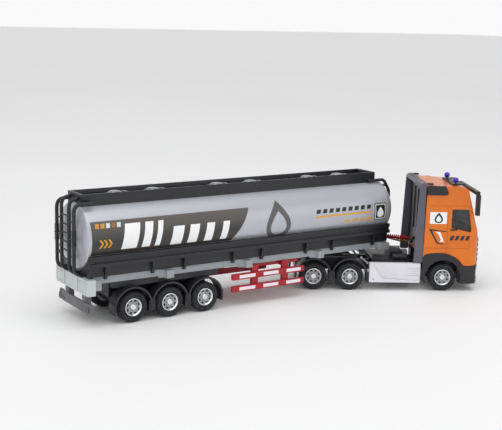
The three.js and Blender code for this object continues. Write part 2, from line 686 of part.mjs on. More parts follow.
// The open trough along the top of the tank, with the guard pipes that run down from its front.
function walkwayGeometry() {
  const half = WALKWAY_WIDTH / 2;
  const seat = tankCentreZ + tankRise(half) - WALKWAY_SEAT;
  const body = block([cradleRear, walkwayFront], [-half, half], [seat, walkwayTop]);
  const hollow = block(
    [cradleRear + 2 * WALKWAY_WALL, walkwayFront - 2 * WALKWAY_WALL],
    [-half + WALKWAY_WALL, half - WALKWAY_WALL],
    [walkwayTop - WALKWAY_DEPTH, walkwayTop + 1],
  );
  const pipeY = half + PIPE_RADIUS - HOOP_INSET;
  const pipeZ = tankCentreZ + tankRise(pipeY) + PIPE_RADIUS + HOOP_LIFT;
  const nose = tankFront + TANK_DOME_RISE + HOOP_NOSE_GAP;
  const hoops = SIDES.map(({ sign }) =>
    pipe(
      [
        at(walkwayFront - HOOP_ROOT, sign * pipeY, pipeZ),
        at(tankFront + TANK_DOME_RISE / 2, sign * pipeY, pipeZ),
        at(nose, sign * pipeY, pipeZ - HOOP_DROPS[0]),
        at(nose, sign * pipeY, pipeZ - HOOP_DROPS[1]),
      ],
      PIPE_RADIUS,
      HOOP_BEND,
    ),
  );
  const barX = nose - 2 * PIPE_RADIUS;
  const barZ = pipeZ - HOOP_DROPS[0] / 2 - RUNG_RADIUS;
  const crossBar = bar(at(barX, -pipeY, barZ), at(barX, pipeY, barZ), 0.8);
  return join(cut(body, hollow, tankForm(GAP, 36)), ...hoops, crossBar);
}

// Six hatches moulded on one strip: a stepped round lid with a lever ahead of it.
function hatchGeometry() {
  const floor = walkwayTop - WALKWAY_DEPTH + GAP;
  const ends = [hatches[0] - HATCH_RADIUS, hatches[5] + HATCH_RADIUS + 3];
  const strip = block(ends, [-2.5, 2.5], [floor, floor + 0.8]);
  const profile = [
    [0, 0],
    [HATCH_RADIUS, 0],
    [HATCH_RADIUS, HATCH_RISE * 0.55],
    [HATCH_RADIUS * 0.75, HATCH_RISE * 0.65],
    [HATCH_RADIUS * 0.7, HATCH_RISE],
    [0, HATCH_RISE],
  ].map(([r, y]) => new THREE.Vector2(r, y));
  const lids = hatches.flatMap((x) => [
    new THREE.LatheGeometry(profile, 12).rotateX(Math.PI / 2).translate(x, 0, floor),
    block(
      [x + HATCH_RADIUS - 1, x + HATCH_RADIUS + 3],
      [-1.2, 1.2],
      [floor, floor + HATCH_RISE * 0.8],
    ),
  ]);
  return join(strip, ...lids);
}

// Four upright pipes with rungs, bent forward at the top to the walkway and at the foot to the cradle.
function ladderCageGeometry() {
  const back = trailerRear - CAGE_STANDOFF;
  const footZ = panelBottom + PANEL_HEIGHT + GAP + PIPE_RADIUS;
  const innerTop = walkwayTop - CAGE_INNER_DROP;
  const outerTop = walkwayTop - CAGE_OUTER_DROP;
  const upright = (y, topX, topZ) =>
    pipe(
      [at(topX, y, topZ), at(back, y, topZ), at(back, y, footZ), at(cradleRear - GAP, y, footZ)],
      PIPE_RADIUS,
      Math.min(CAGE_BEND, (cradleRear - GAP - back) * 0.9),
    );
  const rung = (z, y0, y1) => bar(at(back, y0, z), at(back, y1, z), RUNG_RADIUS, 6);
  const climb = outerTop - footZ - 2 * CAGE_BEND;
  const rungs = (count, y0, y1) =>
    Array.from({ length: count }, (_, i) =>
      rung(footZ + CAGE_BEND + ((i + 0.5) * climb) / count, y0, y1),
    );
  const pipes = SIDES.flatMap(({ sign }) => [
    upright(sign * CAGE_INNER, cradleRear - GAP, innerTop),
    upright(sign * CAGE_OUTER, tankRear + 6, outerTop),
    ...rungs(SIDE_RUNGS, ...span(sign, CAGE_INNER, CAGE_OUTER)),
  ]);
  return join(...pipes, ...rungs(LADDER_RUNGS, -CAGE_INNER, CAGE_INNER));
}

// The rear light panel: three bays divided by grooves, its outer corners chamfered.
function lightPanelGeometry() {
  const z = [panelBottom, panelBottom + PANEL_HEIGHT];
  const front = trailerRear + PANEL_DEPTH;
  const shape = outline([
    [front, outerHalf],
    [trailerRear + PANEL_CHAMFER, outerHalf],
    [trailerRear, outerHalf - PANEL_CHAMFER],
    [trailerRear, -outerHalf + PANEL_CHAMFER],
    [trailerRear + PANEL_CHAMFER, -outerHalf],
    [front, -outerHalf],
  ]);
  const grooves = SIDES.map(({ sign }) =>
    block(
      [trailerRear - 1, trailerRear + PANEL_GROOVE],
      span(sign, PANEL_BAY, PANEL_BAY + 2 * PANEL_GROOVE),
      [z[0] - 1, z[1] + 1],
    ),
  );
  return cut(upZ(shape, z), ...grooves);
}

// The underrun bar: a plate whose ends zigzag, carried below the panel by two straps.
function underrunGeometry() {
  const rear = trailerRear + UNDERRUN_INSET;
  const ends = (sign) =>
    [0, 1, 2, 3].map((fold) => [
      rear + (fold % 2 ? 0 : UNDERRUN_WAVE),
      sign * (outerHalf - fold * UNDERRUN_FOLD),
    ]);
  const backEdge = [...ends(1), ...ends(-1).reverse()];
  const frontEdge = backEdge.map(([x, y]) => [x + UNDERRUN_THICKNESS, y]).reverse();
  const plate = upZ(outline([...backEdge, ...frontEdge]), [
    UNDERRUN_BOTTOM,
    UNDERRUN_BOTTOM + UNDERRUN_HEIGHT,
  ]);
  const straps = SIDES.map(({ sign }) =>
    block(
      [rear + UNDERRUN_THICKNESS / 2, rear + UNDERRUN_THICKNESS / 2 + STRAP.length],
      span(sign, STRAP.inner, STRAP.outer),
      [UNDERRUN_BOTTOM + UNDERRUN_HEIGHT - STRAP.lap, panelBottom - GAP],
    ),
  );
  return join(plate, ...straps);
}

// The black bogie: a beam with the bearing blocks of the three axles, and the mudguards beside it.
function bogieGeometry() {
  const top = frameBottom - GAP;
  const half = wheelCentre - TYRE_WIDTH / 2 - WHEEL_GAP;
  const beamReach = 10;
  const beamHalf = 8;
  const beamRise = 4; // over the axles
  const beam = block(
    [trailerAxles[0] - beamReach, trailerAxles[2] + beamReach],
    [-beamHalf, beamHalf],
    [AXLE_Z + beamRise, top],
  );
  const bearings = trailerAxles.map((x) =>
    acrossY(
      outline([
        [x - 3, AXLE_Z - 3],
        [x + 3, AXLE_Z - 3],
        [x + 6, AXLE_Z + 6],
        [x - 6, AXLE_Z + 6],
      ]),
      [-half, half],
    ),
  );
  const tieLength = 4;
  const tieDepth = 3;
  const tieStations = [
    trailerAxles[0] - beamReach,
    ...[0.5, 1.5].map((share) => share * AXLE_PITCH),
    trailerAxles[2] + beamReach,
  ];
  const ties = tieStations.map((x) =>
    block([x - tieLength / 2, x + tieLength / 2], [-plateReach, plateReach], [top - tieDepth, top]),
  );
  const mudguards = SIDES.map((side) => mudguardGeometry(side, trailerAxles, top, TRAILER_PLATE_OVERHANG));
  const holes = trailerAxles.map((x) => axleHole(x, outerHalf));
  return cut(join(beam, ...bearings, ...ties, ...mudguards), ...holes);
}

// The red guards: two bars and two posts on each side, on one carrier under the frame.
function sideGuardGeometry() {
  const bars = SIDES.flatMap(({ sign }) =>
    GUARD_BAR_BOTTOMS.map((z) =>
      acrossY(
        outline(
          [
            [guardRear, z],
            [guardFront, z],
            [guardFront, z + GUARD_BAR_HEIGHT],
            [guardRear, z + GUARD_BAR_HEIGHT],
          ],
          1,
        ),
        span(sign, outerHalf - GUARD_INSET - GUARD_BAR_THICKNESS, outerHalf - GUARD_INSET),
        2,
      ),
    ),
  );
  const carrierTop = frameBottom - GAP;
  const postFace = outerHalf - GUARD_INSET - GUARD_BAR_THICKNESS + 0.3;
  const posts = SIDES.flatMap(({ sign }) =>
    guardPosts.map((x) =>
      block(
        [x, x + GUARD_POST_LENGTH],
        span(sign, postFace - GUARD_POST_THICKNESS, postFace),
        [GUARD_BAR_BOTTOMS[0] + GUARD_POST_FOOT, carrierTop],
      ),
    ),
  );
  const carrierHalf = postFace - GUARD_POST_THICKNESS / 2;
  const carriers = guardPosts.map((x) =>
    block([x, x + GUARD_POST_LENGTH], [-carrierHalf, carrierHalf], [carrierTop - CARRIER_DEPTH, carrierTop]),
  );
  const spineHalf = outerHalf - SPINE_INSET;
  const spine = block(
    [guardPosts[0], guardFront - 2],
    [-spineHalf, spineHalf],
    [carrierTop - SPINE_DEPTH, carrierTop],
  );
  return join(...bars, ...posts, ...carriers, spine);
}

place(trailer, "trailer_frame", frameGeometry(), FRAME_GREY);
place(trailer, "tank_shell", tankGeometry(), SILVER);
place(trailer, "tank_cradle", cradleGeometry(), BLACK_PLASTIC);
place(trailer, "walkway_trough", walkwayGeometry(), BLACK_PLASTIC);
place(trailer, "hatch_strip", hatchGeometry(), CHROME);
place(trailer, "rear_ladder_cage", ladderCageGeometry(), BLACK_PLASTIC);
place(trailer, "rear_light_panel", lightPanelGeometry(), PANEL_GREY);
place(trailer, "underrun_bar", underrunGeometry(), BAR_GREY);
place(trailer, "trailer_bogie", bogieGeometry(), BLACK_PLASTIC);
place(trailer, "side_guards", sideGuardGeometry(), GUARD_RED);
trailerAxles.forEach((x, i) => addAxle(trailer, `trailer_axle_${i + 1}`, x));

// ---------------------------------------------------------------- tractor

const tractor = new THREE.Group(); // its own x runs forward from the rear drive axle

// Two rails with cross members, the axles' bearing blocks and the fifth wheel's pedestal.
function chassisGeometry() {
  const z = [CHASSIS_BOTTOM, chassisTop];
  const half = CHASSIS_HALF_WIDTH;
  const ends = [-CHASSIS_REAR, cabNose - CHASSIS_NOSE_INSET];
  const rails = SIDES.map(({ sign }) => block(ends, span(sign, half - CHASSIS_RAIL, half), z));
  const stations = [
    ends[0],
    skirtRear + CHASSIS_MEMBER / 2,
    cabRear - DECK_FRONT_GAP - CHASSIS_MEMBER / 2,
    ends[1] - CHASSIS_MEMBER,
  ];
  const crossMembers = stations.map((t) => block([t, t + CHASSIS_MEMBER], [-half, half], z));
  const bearings = [...driveAxles, STEER_T].map((t) =>
    block([t - BEARING / 2, t + BEARING / 2], [-half, half], [AXLE_Z - BEARING_DROP, chassisTop]),
  );
  const pedestal = block(
    [FIFTH_WHEEL_T - PEDESTAL / 2, FIFTH_WHEEL_T + PEDESTAL / 2],
    [-half, half],
    [chassisTop - 1, fifthWheelTop - FIFTH_WHEEL_THICKNESS - GAP],
  );
  const solid = join(...rails, ...crossMembers, ...bearings, pedestal);
  const pinWell = rod(KINGPIN_RADIUS + PIN_WELL, 2 * CHASSIS_HEIGHT, 16)
    .rotateX(Math.PI / 2)
    .translate(FIFTH_WHEEL_T, 0, fifthWheelTop);
  const holes = [...driveAxles, STEER_T].map((t) => axleHole(t, outerHalf));
  return cut(solid, pinWell, ...holes);
}

// The deck between the fifth wheel and the cab, with a battery box, a valve box and two air tanks.
function deckGeometry() {
  const floor = chassisTop + GAP;
  const top = floor + DECK_THICKNESS;
  const rear = cabRear - DECK_REACH;
  const half = outerHalf - DECK_INSET;
  const plate = block([rear, cabRear - DECK_FRONT_GAP], [-half, half], [floor, top]);
  const boxes = [
    block([rear + 2, rear + 12], [2 - half, -6], [floor, top + 2]),
    block([rear + 15, rear + 25], [-8, 10], [floor, top + 5]),
  ];
  const tankRadius = 2.4;
  const airTanks = SIDES.map(({ sign }) =>
    bar(
      at(rear + 16, sign * (half - 2 * tankRadius), top + tankRadius - 0.5),
      at(rear + 27, sign * (half - 2 * tankRadius), top + tankRadius - 0.5),
      tankRadius,
      10,
    ),
  );
  return join(plate, ...boxes, ...airTanks);
}

// The coupling plate: a rounded plate with a throat that leads the kingpin in from behind.
function fifthWheelGeometry() {
  const t = FIFTH_WHEEL_T;
  const slot = KINGPIN_RADIUS + RUNNING;
  const z = [fifthWheelTop - FIFTH_WHEEL_THICKNESS, fifthWheelTop];
  const { tail, head, shoulder, tailHalf, half, headHalf } = FIFTH_WHEEL;
  const edge = [
    [t - tail, tailHalf],
    [t + shoulder, half],
    [t + head, headHalf],
  ];
  const plate = outline([...edge.map(([x, y]) => [x, -y]), ...edge.reverse()]);
  const throatEdge = [
    [t, slot],
    [t - THROAT.neck, slot],
    [t - THROAT.mouth, THROAT.mouthHalf],
  ];
  const throat = outline([...throatEdge, ...throatEdge.map(([x, y]) => [x, -y]).reverse()]);
  const eye = rod(slot / Math.cos(Math.PI / 20), 20, 20)
    .rotateX(Math.PI / 2)
    .translate(t, 0, fifthWheelTop);
  return cut(upZ(plate, z), upZ(throat, [z[0] - 1, z[1] + 1]), eye);
}

// Side skirt panel between the drive wheels and the cab, held to the chassis by a bracket.
function skirtGeometry(side) {
  const z = [SKIRT_BOTTOM, SKIRT_BOTTOM + SKIRT_HEIGHT];
  const corners = [
    [skirtRear, z[0]],
    [skirtFront, z[0]],
    [skirtFront, z[1]],
    [skirtRear, z[1]],
  ];
  const face = outerHalf - GAP;
  const body = acrossY(outline(corners, 0.8), span(side.sign, face - SKIRT_THICKNESS, face), 2);
  const bracket = block(
    [skirtRear + SKIRT_BRACKET_INSET, skirtFront - SKIRT_BRACKET_INSET],
    span(side.sign, CHASSIS_HALF_WIDTH + GAP, face - SKIRT_THICKNESS + 1),
    [CHASSIS_BOTTOM + 2, CHASSIS_BOTTOM + 5],
  );
  return join(body, bracket);
}

// The cab's side outline, drawn in by inset, from the rear foot over the roof and down the nose.
const cabOutline = (inset, foot) =>
  outline(
    [
      [cabRear + inset, foot],
      [cabRear + CAB_HEEL + inset, cabRoof - inset],
      [browT - inset, cabRoof - ROOF_FALL - inset],
      [cabNose - 3 - inset, windowBottom + 3],
      [cabNose - inset, windowBottom - 4],
      [cabNose - inset, foot],
    ],
    3,
  );

// The cab's plan, its front corners turned in, drawn in by inset and up through the levels z.
function cabPlan(inset, z) {
  const nose = cabNose - inset;
  const side = cabHalf - inset;
  const half = [
    [cabRear - 2, side],
    [nose - 6, side],
    [nose - 1.6, side - 2],
    [nose + 0.6, side - 7],
  ];
  return upZ(outline([...half.map(([x, y]) => [x, -y]), ...half.reverse()]), z);
}

// The cab's solid form, drawn in by inset, from the foot level up.
const cabForm = (inset, foot) =>
  both(
    acrossY(cabOutline(inset, foot), [inset - cabHalf, cabHalf - inset]),
    cabPlan(inset, [foot - 1, cabRoof + 1]),
  );

// The side outline of the black arch liner over the steered wheel.
const wheelArchOutline = (grow, foot) =>
  outline(
    [
      [cabRear - grow, foot],
      [cabRear - grow, archTop - 1.6 + grow],
      [STEER_T - steerRoom + 4.6, archTop + grow],
      [STEER_T + steerRoom - 12, archTop + grow],
      [STEER_T + steerRoom - 3 + grow, archTop - 4 + grow],
      [archFront + grow, archTop - 11 + grow],
      [archFront + grow, foot],
    ],
    4,
  );

const sideWindowOutline = outline(
  [
    [cabRear + 20.6, windowBottom + 1.2],
    [cabRear + 36.5, windowBottom - 2],
    [cabRear + 33.6, windowTop],
    [cabRear + 20.6, windowTop],
  ],
  1.6,
);

const windscreenOutline = outline(
  [
    [3.4 - cabHalf, windowBottom + 1],
    [cabHalf - 3.4, windowBottom + 1],
    [cabHalf - 4.6, windowTop + 9.5],
    [4.6 - cabHalf, windowTop + 9.5],
  ],
  2,
);

// The painted cab shell, open below, with the windscreen, side windows and wheel arches cut out.
function cabShellGeometry() {
  const foot = fairingBottom - 2;
  const across = [-outerHalf, outerHalf];
  return cut(
    cabForm(0, foot),
    cabForm(CAB_WALL, foot - 5),
    acrossY(wheelArchOutline(GAP, foot - 2), across),
    acrossY(sideWindowOutline, across),
    alongX(windscreenOutline, [cabNose - 15, cabNose + 3]),
  );
}

// One clear moulding inside the shell: the windscreen and both side panes.
function glazingGeometry() {
  const z = [windowBottom - 4, windowTop + 11.5];
  const pane = (inset) => both(cabForm(inset, archTop), cabPlan(inset, z));
  const behind = block([cabRear, cabRear + 18.5], [-outerHalf, outerHalf], [0, cabRoof]);
  return cut(pane(CAB_WALL + GAP), pane(CAB_WALL + GAP + GLASS_THICKNESS), behind);
}

// Floor, two seats, dashboard and steering wheel in one dark moulding.
function interiorGeometry() {
  const floor = archTop + 1.4;
  const base = block([cabRear, cabNose], [-cabHalf, cabHalf], [floor, floor + 2]);
  const dashOutline = outline(
    [
      [cabNose - 13, floor + 1],
      [cabNose, floor + 1],
      [cabNose, windowBottom - 1],
      [cabNose - 11, windowBottom + 1],
    ],
    1,
  );
  const dash = acrossY(dashOutline, [-cabHalf, cabHalf], 2);
  const seatBack = outline(
    [
      [cabRear + 7, floor + 6],
      [cabRear + 11, floor + 6],
      [cabRear + 9.5, floor + 27],
      [cabRear + 6, floor + 27],
    ],
    1,
  );
  const seats = SIDES.flatMap(({ sign }) => [
    block([cabRear + 9, cabRear + 22], span(sign, 5, 17), [floor + 1, floor + 9]),
    acrossY(seatBack, span(sign, 5.5, 16.5), 2),
  ]);
  const hub = at(cabNose - 17, 11, windowBottom + 0.5);
  const column = bar(at(cabNose - 11, 11, windowBottom - 5), hub, 0.7);
  const wheel = rod(4.2, 1, 12).rotateZ(0.75).translate(hub.x, hub.y, hub.z);
  const room = cabForm(CAB_WALL + GLASS_THICKNESS + 2 * GAP, floor - 1);
  return both(join(base, dash, ...seats, column, wheel), room);
}

// Black lower trim in one piece: bumper with its grille, and the liners of both wheel arches.
function lowerTrimGeometry() {
  const foot = SKIRT_BOTTOM - 0.6;
  const bumperTop = fairingBottom - 2 - GAP;
  const wheelRoom = join(
    rod(steerRoom, BODY_WIDTH + 2, 24).translate(STEER_T, 0, AXLE_Z),
    block(
      [STEER_T - steerRoom + 1.4, STEER_T + steerRoom - 0.8],
      [-outerHalf - 1, outerHalf + 1],
      [0, AXLE_Z],
    ),
  );
  const liners = SIDES.map(({ sign }) =>
    cut(acrossY(wheelArchOutline(0, foot), span(sign, cabHalf - 9, outerHalf - 0.1)), wheelRoom),
  );
  const bumperRear = STEER_T + steerRoom + 1;
  const bumper = both(
    block([bumperRear, cabNose + 2], [-outerHalf, outerHalf], [foot, bumperTop]),
    cabPlan(-0.4, [0, archTop]),
  );
  const inside = block([0, cabNose - 3], [3.5 - outerHalf, outerHalf - 3.5], [foot + 2, archTop]);
  const grilleTop = windowBottom - 7;
  const grilleHalf = outerHalf - 10;
  const grille = [-grilleHalf, grilleHalf];
  const face = block([cabNose + GAP + 0.6, cabNose + 1.6], grille, [bumperTop - 2, grilleTop]);
  const root = block([cabNose - 2, cabNose + 1.6], grille, [bumperTop - 2, bumperTop]);
  const pitch = (grilleTop - bumperTop - 2) / GRILLE_SLATS;
  const slats = Array.from({ length: GRILLE_SLATS }, (_, i) => {
    const low = bumperTop + 2 + i * pitch;
    return block([cabNose + 1, cabNose + 2.4], [1.5 - grilleHalf, grilleHalf - 1.5], [low, low + pitch / 2]);
  });
  const lamps = SIDES.map(({ sign }) => lampBlock(sign, GAP));
  const strip = lampStrip(GAP);
  return cut(join(...liners, cut(bumper, inside), face, root, ...slats), ...lamps, strip);
}

// The body of a headlamp in the bumper's front corner, or its pocket when grown.
const lampBlock = (sign, grow) =>
  block(
    [cabNose - 3 - grow, cabNose + 3],
    span(sign, outerHalf - 12.5 - grow, outerHalf - 3 + grow),
    [AXLE_Z - grow, AXLE_Z + 6 + grow],
  );

// The strip behind the bumper that joins the two lenses.
const lampStrip = (grow) =>
  block(
    [cabNose - 3.6 - grow, cabNose - 2.5 + grow],
    [5 - outerHalf - grow, outerHalf - 5 + grow],
    [AXLE_Z + 1 - grow, AXLE_Z + 5 + grow],
  );

// Both headlamp lenses, moulded clear on one strip behind the bumper.
function headlampGeometry() {
  const form = cabPlan(-0.2, [0, archTop]);
  return join(...SIDES.map(({ sign }) => both(lampBlock(sign, 0), form)), lampStrip(0));
}

// Sun visor over the windscreen with a mirror hung from each end.
function visorGeometry() {
  const front = cabNose - 5;
  const z = cabRoof - 7;
  const visor = block([front, front + 3], [-cabHalf - 1, cabHalf + 1], [z, z + 2.6]);
  const mirrors = SIDES.flatMap(({ sign }) => [
    block([front, front + 2], span(sign, cabHalf + 0.5, cabHalf + 3.6), [z, z + 2]),
    block([front - 0.4, front + 2.4], span(sign, cabHalf + 1.2, cabHalf + 5.6), [z - 15, z + 0.6]),
  ]);
  return join(visor, ...mirrors);
}

// Light bar across the roof that carries the two beacons.
function lightBarGeometry() {
  const z = [lightBarBottom, lightBarTop];
  const beam = block(
    [beaconT - LIGHT_BAR_REACH, beaconT + LIGHT_BAR_REACH],
    [-LIGHT_BAR_HALF, LIGHT_BAR_HALF],
    z,
  );
  const feet = SIDES.map(({ sign }) =>
    block(
      [beaconT - LIGHT_BAR_REACH, beaconT + LIGHT_BAR_FOOT],
      span(sign, LIGHT_BAR_HALF - LIGHT_BAR_FOOT_WIDTH, LIGHT_BAR_HALF),
      z,
    ),
  );
  return join(beam, ...feet);
}

// Grey air deflector: two side panels behind the cab and the panel that joins them over the roof.
function fairingGeometry() {
  const front = cabRear - GAP;
  const rear = front - FAIRING_LENGTH;
  const sideOutline = outline(
    [
      [rear, fairingBottom],
      [front, fairingBottom],
      [front, fairingTop],
      [rear + 2.4, fairingTop - 1.2],
    ],
    1.5,
  );
  const roofOutline = outline([
    [rear + 2.2, fairingTop - 3.2],
    [front, fairingTop - 2],
    [front, fairingTop - 0.2],
    [rear + 2.6, fairingTop - 1.4],
  ]);
  const sides = SIDES.map(({ sign }) =>
    acrossY(sideOutline, span(sign, outerHalf - FAIRING_THICKNESS, outerHalf), 2),
  );
  return join(...sides, acrossY(roofOutline, [1 - outerHalf, outerHalf - 1]));
}

// Dark ribbed panel on the cab's back, with the sockets for the air lines.
function backPanelGeometry() {
  const face = cabRear - GAP;
  const half = outerHalf - FAIRING_THICKNESS - GAP;
  const panel = block([face - 1, face], [-half, half], [archTop, fairingTop - 3.8]);
  const ribs = [-18, -6, 6, 18].map((y) =>
    block([face - 2, face - 0.5], [y - 0.8, y + 0.8], [archTop + 14, fairingTop - 8]),
  );
  const sockets = AIR_LINES.map(({ cabY, cabRise }) =>
    bar(
      at(face - 0.5, cabY, archTop + cabRise),
      at(face - 1 - SOCKET_LENGTH, cabY, archTop + cabRise),
      SOCKET_RADIUS,
    ),
  );
  return join(panel, ...ribs, ...sockets);
}

place(tractor, "tractor_chassis", chassisGeometry(), BLACK_PLASTIC);
place(tractor, "tractor_deck", deckGeometry(), BLACK_PLASTIC);
place(tractor, "fifth_wheel", fifthWheelGeometry(), BLACK_PLASTIC);
for (const side of SIDES) {
  const plateTop = AXLE_Z + fenderOuter + TRACTOR_PLATE_RISE;
  const mudguard = mudguardGeometry(side, driveAxles, plateTop, TRACTOR_PLATE_OVERHANG);
  place(tractor, `drive_mudguard_${side.name}`, mudguard, BLACK_PLASTIC);
  place(tractor, `side_skirt_${side.name}`, skirtGeometry(side), SKIRT_WHITE);
}
place(tractor, "cab_shell", cabShellGeometry(), CAB_ORANGE);
place(tractor, "cab_glazing", glazingGeometry(), GLAZING);
place(tractor, "cab_interior", interiorGeometry(), BLACK_PLASTIC);
place(tractor, "cab_lower_trim", lowerTrimGeometry(), BLACK_PLASTIC);
place(tractor, "headlamp_strip", headlampGeometry(), LENS);
place(tractor, "visor_with_mirrors", visorGeometry(), BLACK_PLASTIC);
place(tractor, "roof_light_bar", lightBarGeometry(), BLACK_PLASTIC);
for (const side of SIDES) {
  const beacon = new THREE.SphereGeometry(BEACON_RADIUS, 12, 8).rotateX(Math.PI / 2);
  const mesh = place(tractor, `beacon_${side.name}`, beacon, BEACON_BLUE);
  mesh.position.set(beaconT, side.sign * BEACON_SPREAD, lightBarTop + GAP + BEACON_RADIUS);
}
place(tractor, "cab_fairing", fairingGeometry(), FAIRING_GREY);
place(tractor, "cab_back_panel", backPanelGeometry(), BLACK_PLASTIC);
driveAxles.forEach((x, i) => addAxle(tractor, `drive_axle_${i + 1}`, x));
addAxle(tractor, "steer_axle", STEER_T);

// ---------------------------------------------------------------- coupling

// The tractor turns about the kingpin.
const coupling = new THREE.Group();
coupling.position.set(kingpinX, 0, 0);
coupling.rotation.z = -THREE.MathUtils.degToRad(COUPLING_TURN);
tractor.position.x = -FIFTH_WHEEL_T;
coupling.add(tractor);
coupling.updateMatrixWorld(true);

// A coiled air line as the outer tube of its coil, leaving each socket straight.
function airLineGeometry({ trailerY, cabY, cabRise }) {
  const lead = 2 * HOSE_RADIUS;
  const cabX = cabRear - 2 * GAP - 1 - SOCKET_LENGTH;
  const cabZ = archTop + cabRise;
  const trailerX = trailerFront + SOCKET_LENGTH + GAP;
  const route = [
    at(trailerX, trailerY, socketZ),
    at(trailerX + lead, trailerY, socketZ),
    at(cabX - lead, cabY, cabZ).applyMatrix4(tractor.matrixWorld),
    at(cabX, cabY, cabZ).applyMatrix4(tractor.matrixWorld),
  ];
  return pipe(route, HOSE_RADIUS, lead * 0.8);
}

const airLines = new THREE.Group();
for (const line of AIR_LINES) place(airLines, line.name, airLineGeometry(line), paint(line.colour, 0.4));

const vehicle = new THREE.Group();
vehicle.add(trailer, coupling, airLines);

// The origin is at ground level under the middle of the posed vehicle's box.
vehicle.updateMatrixWorld(true);
const extent = new THREE.Box3().setFromObject(vehicle, true);
const centre = extent.getCenter(new THREE.Vector3());
vehicle.position.set(-centre.x, -centre.y, -extent.min.z);

const truck = new THREE.Group();
truck.add(vehicle);
export default truck;
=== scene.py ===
"""Looks for a toy articulated tanker truck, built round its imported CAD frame.

Lengths in the constants are millimetres, and every mesh that reaches Blender is in metres. Trailer
pieces are drawn in the trailer's own place (x forward from its rearmost axle, y to the left) and
tractor pieces in the tractor's (x forward from its rear drive axle).
"""
import json
import math

import bmesh
import bpy
from mathutils import Matrix, Vector
from mathutils.geometry import tessellate_polygon

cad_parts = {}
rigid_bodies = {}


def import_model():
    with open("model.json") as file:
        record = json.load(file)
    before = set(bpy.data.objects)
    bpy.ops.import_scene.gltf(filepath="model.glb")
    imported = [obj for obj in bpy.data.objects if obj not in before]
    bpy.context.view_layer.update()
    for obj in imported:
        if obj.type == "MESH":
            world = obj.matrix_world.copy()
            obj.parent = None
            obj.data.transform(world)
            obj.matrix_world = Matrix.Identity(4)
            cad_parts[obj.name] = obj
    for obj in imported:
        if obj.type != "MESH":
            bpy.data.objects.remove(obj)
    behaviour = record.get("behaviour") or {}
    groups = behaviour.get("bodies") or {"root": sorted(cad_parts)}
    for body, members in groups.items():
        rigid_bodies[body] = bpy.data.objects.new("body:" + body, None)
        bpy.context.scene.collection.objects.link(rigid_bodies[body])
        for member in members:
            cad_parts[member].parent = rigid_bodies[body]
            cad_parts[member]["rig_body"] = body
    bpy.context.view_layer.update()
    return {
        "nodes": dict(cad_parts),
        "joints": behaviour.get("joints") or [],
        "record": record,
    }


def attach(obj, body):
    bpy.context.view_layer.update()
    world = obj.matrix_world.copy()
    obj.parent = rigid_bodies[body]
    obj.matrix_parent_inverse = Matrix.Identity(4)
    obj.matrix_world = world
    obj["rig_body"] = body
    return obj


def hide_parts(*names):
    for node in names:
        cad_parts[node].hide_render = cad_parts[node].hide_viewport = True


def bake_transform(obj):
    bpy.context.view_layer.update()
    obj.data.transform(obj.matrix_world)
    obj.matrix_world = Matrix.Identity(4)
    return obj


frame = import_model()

MM = 0.001
joints = {joint["name"]: joint for joint in frame["joints"]}
slots = {part["node"]: part["material_slot"] for part in frame["record"]["subparts"]}

# ---- places


def ground_place(joint_name, forward):
    """The place, in millimetres, whose origin is on the ground under a joint."""
    x, y, _ = joints[joint_name]["pos_m"]
    left = Vector((-forward.y, forward.x, 0))
    turn = Matrix((forward, left, Vector((0, 0, 1)))).transposed().to_4x4()
    return Matrix.Translation((x, y, 0)) @ turn @ Matrix.Scale(MM, 4)


drive_axis = joints["drive_axle_1_spin"]["axis"]
TRAILER = ground_place("trailer_axle_1_spin", Vector((1, 0, 0)))
TRACTOR = ground_place("drive_axle_1_spin", Vector((drive_axis[1], -drive_axis[0], 0)))


def local_box(node, place):
    """The lowest and highest corners of a CAD node, in a place's millimetres."""
    inverse = place.inverted()
    points = [inverse @ vertex.co for vertex in frame["nodes"][node].data.vertices]
    axes = list(zip(*points))
    return Vector([min(a) for a in axes]), Vector([max(a) for a in axes])


# ---- driving values

BEVEL = 0.16
GAP = 0.2

# tank and hatches
TANK_RIM = 2.2
TANK_CAP_RISE = 2.6
TANK_DOME_RISE = 11
HATCH_RADIUS = 6
HATCH_RISE = 3.6
HATCH_PITCH = 28.8
HATCH_PAIR_PITCH = 80.2

# rear cage
PIPE = 1.25
CAGE_INNER = 6
CAGE_OUTER = 13.6
CAGE_OUTER_DROP = 2.4
CAGE_OUTER_REACH = 6
CAGE_BEND = 6
RUNG_RADIUS = 0.6
SLEEVE_LEVELS = (0.42, 0.53)
SLEEVE_RIBS = 4
SLEEVE_PITCH = 1.5
SLEEVE_HALF = 0.35
SLEEVE_RISE = 0.45

# guards, bar and light panel
GUARD_PITCH = 8.8
REFLECTOR_SPANS = ((83.5, 97.1), (104.1, 117.2), (124.3, 137.0))
PAD_EDGES = (16.6, 20.4)
PAD_WIDTH = 2.2
LAMP_FRAME_Y = (13.0, 23.6)
LAMP_FRAME_LOW = 1.8
LAMP_FRAME_HIGH = 8.8
GROOVE = 0.4
GROOVE_DEPTH = 0.3

# wheels
RIM_RADIUS = 6.1
RIM_SLOTS = 8
SLOT_STEPS = 12
SLOT_INNER = 3.75
SLOT_OUTER = 4.85
SLOT_DEPTH = 0.8
DISH_INNER = 2.2
DISH_OUTER = 5.2
NUT_RING = 3.3
TREAD_NOTCHES = 48
TREAD_GROOVES = (-1.9, 0.0, 1.9)
TREAD_DEPTH = 0.4
WHEEL_WIDTH = 8
WHEEL_CENTRE = 21.5
AXLE_PITCH = 27.8

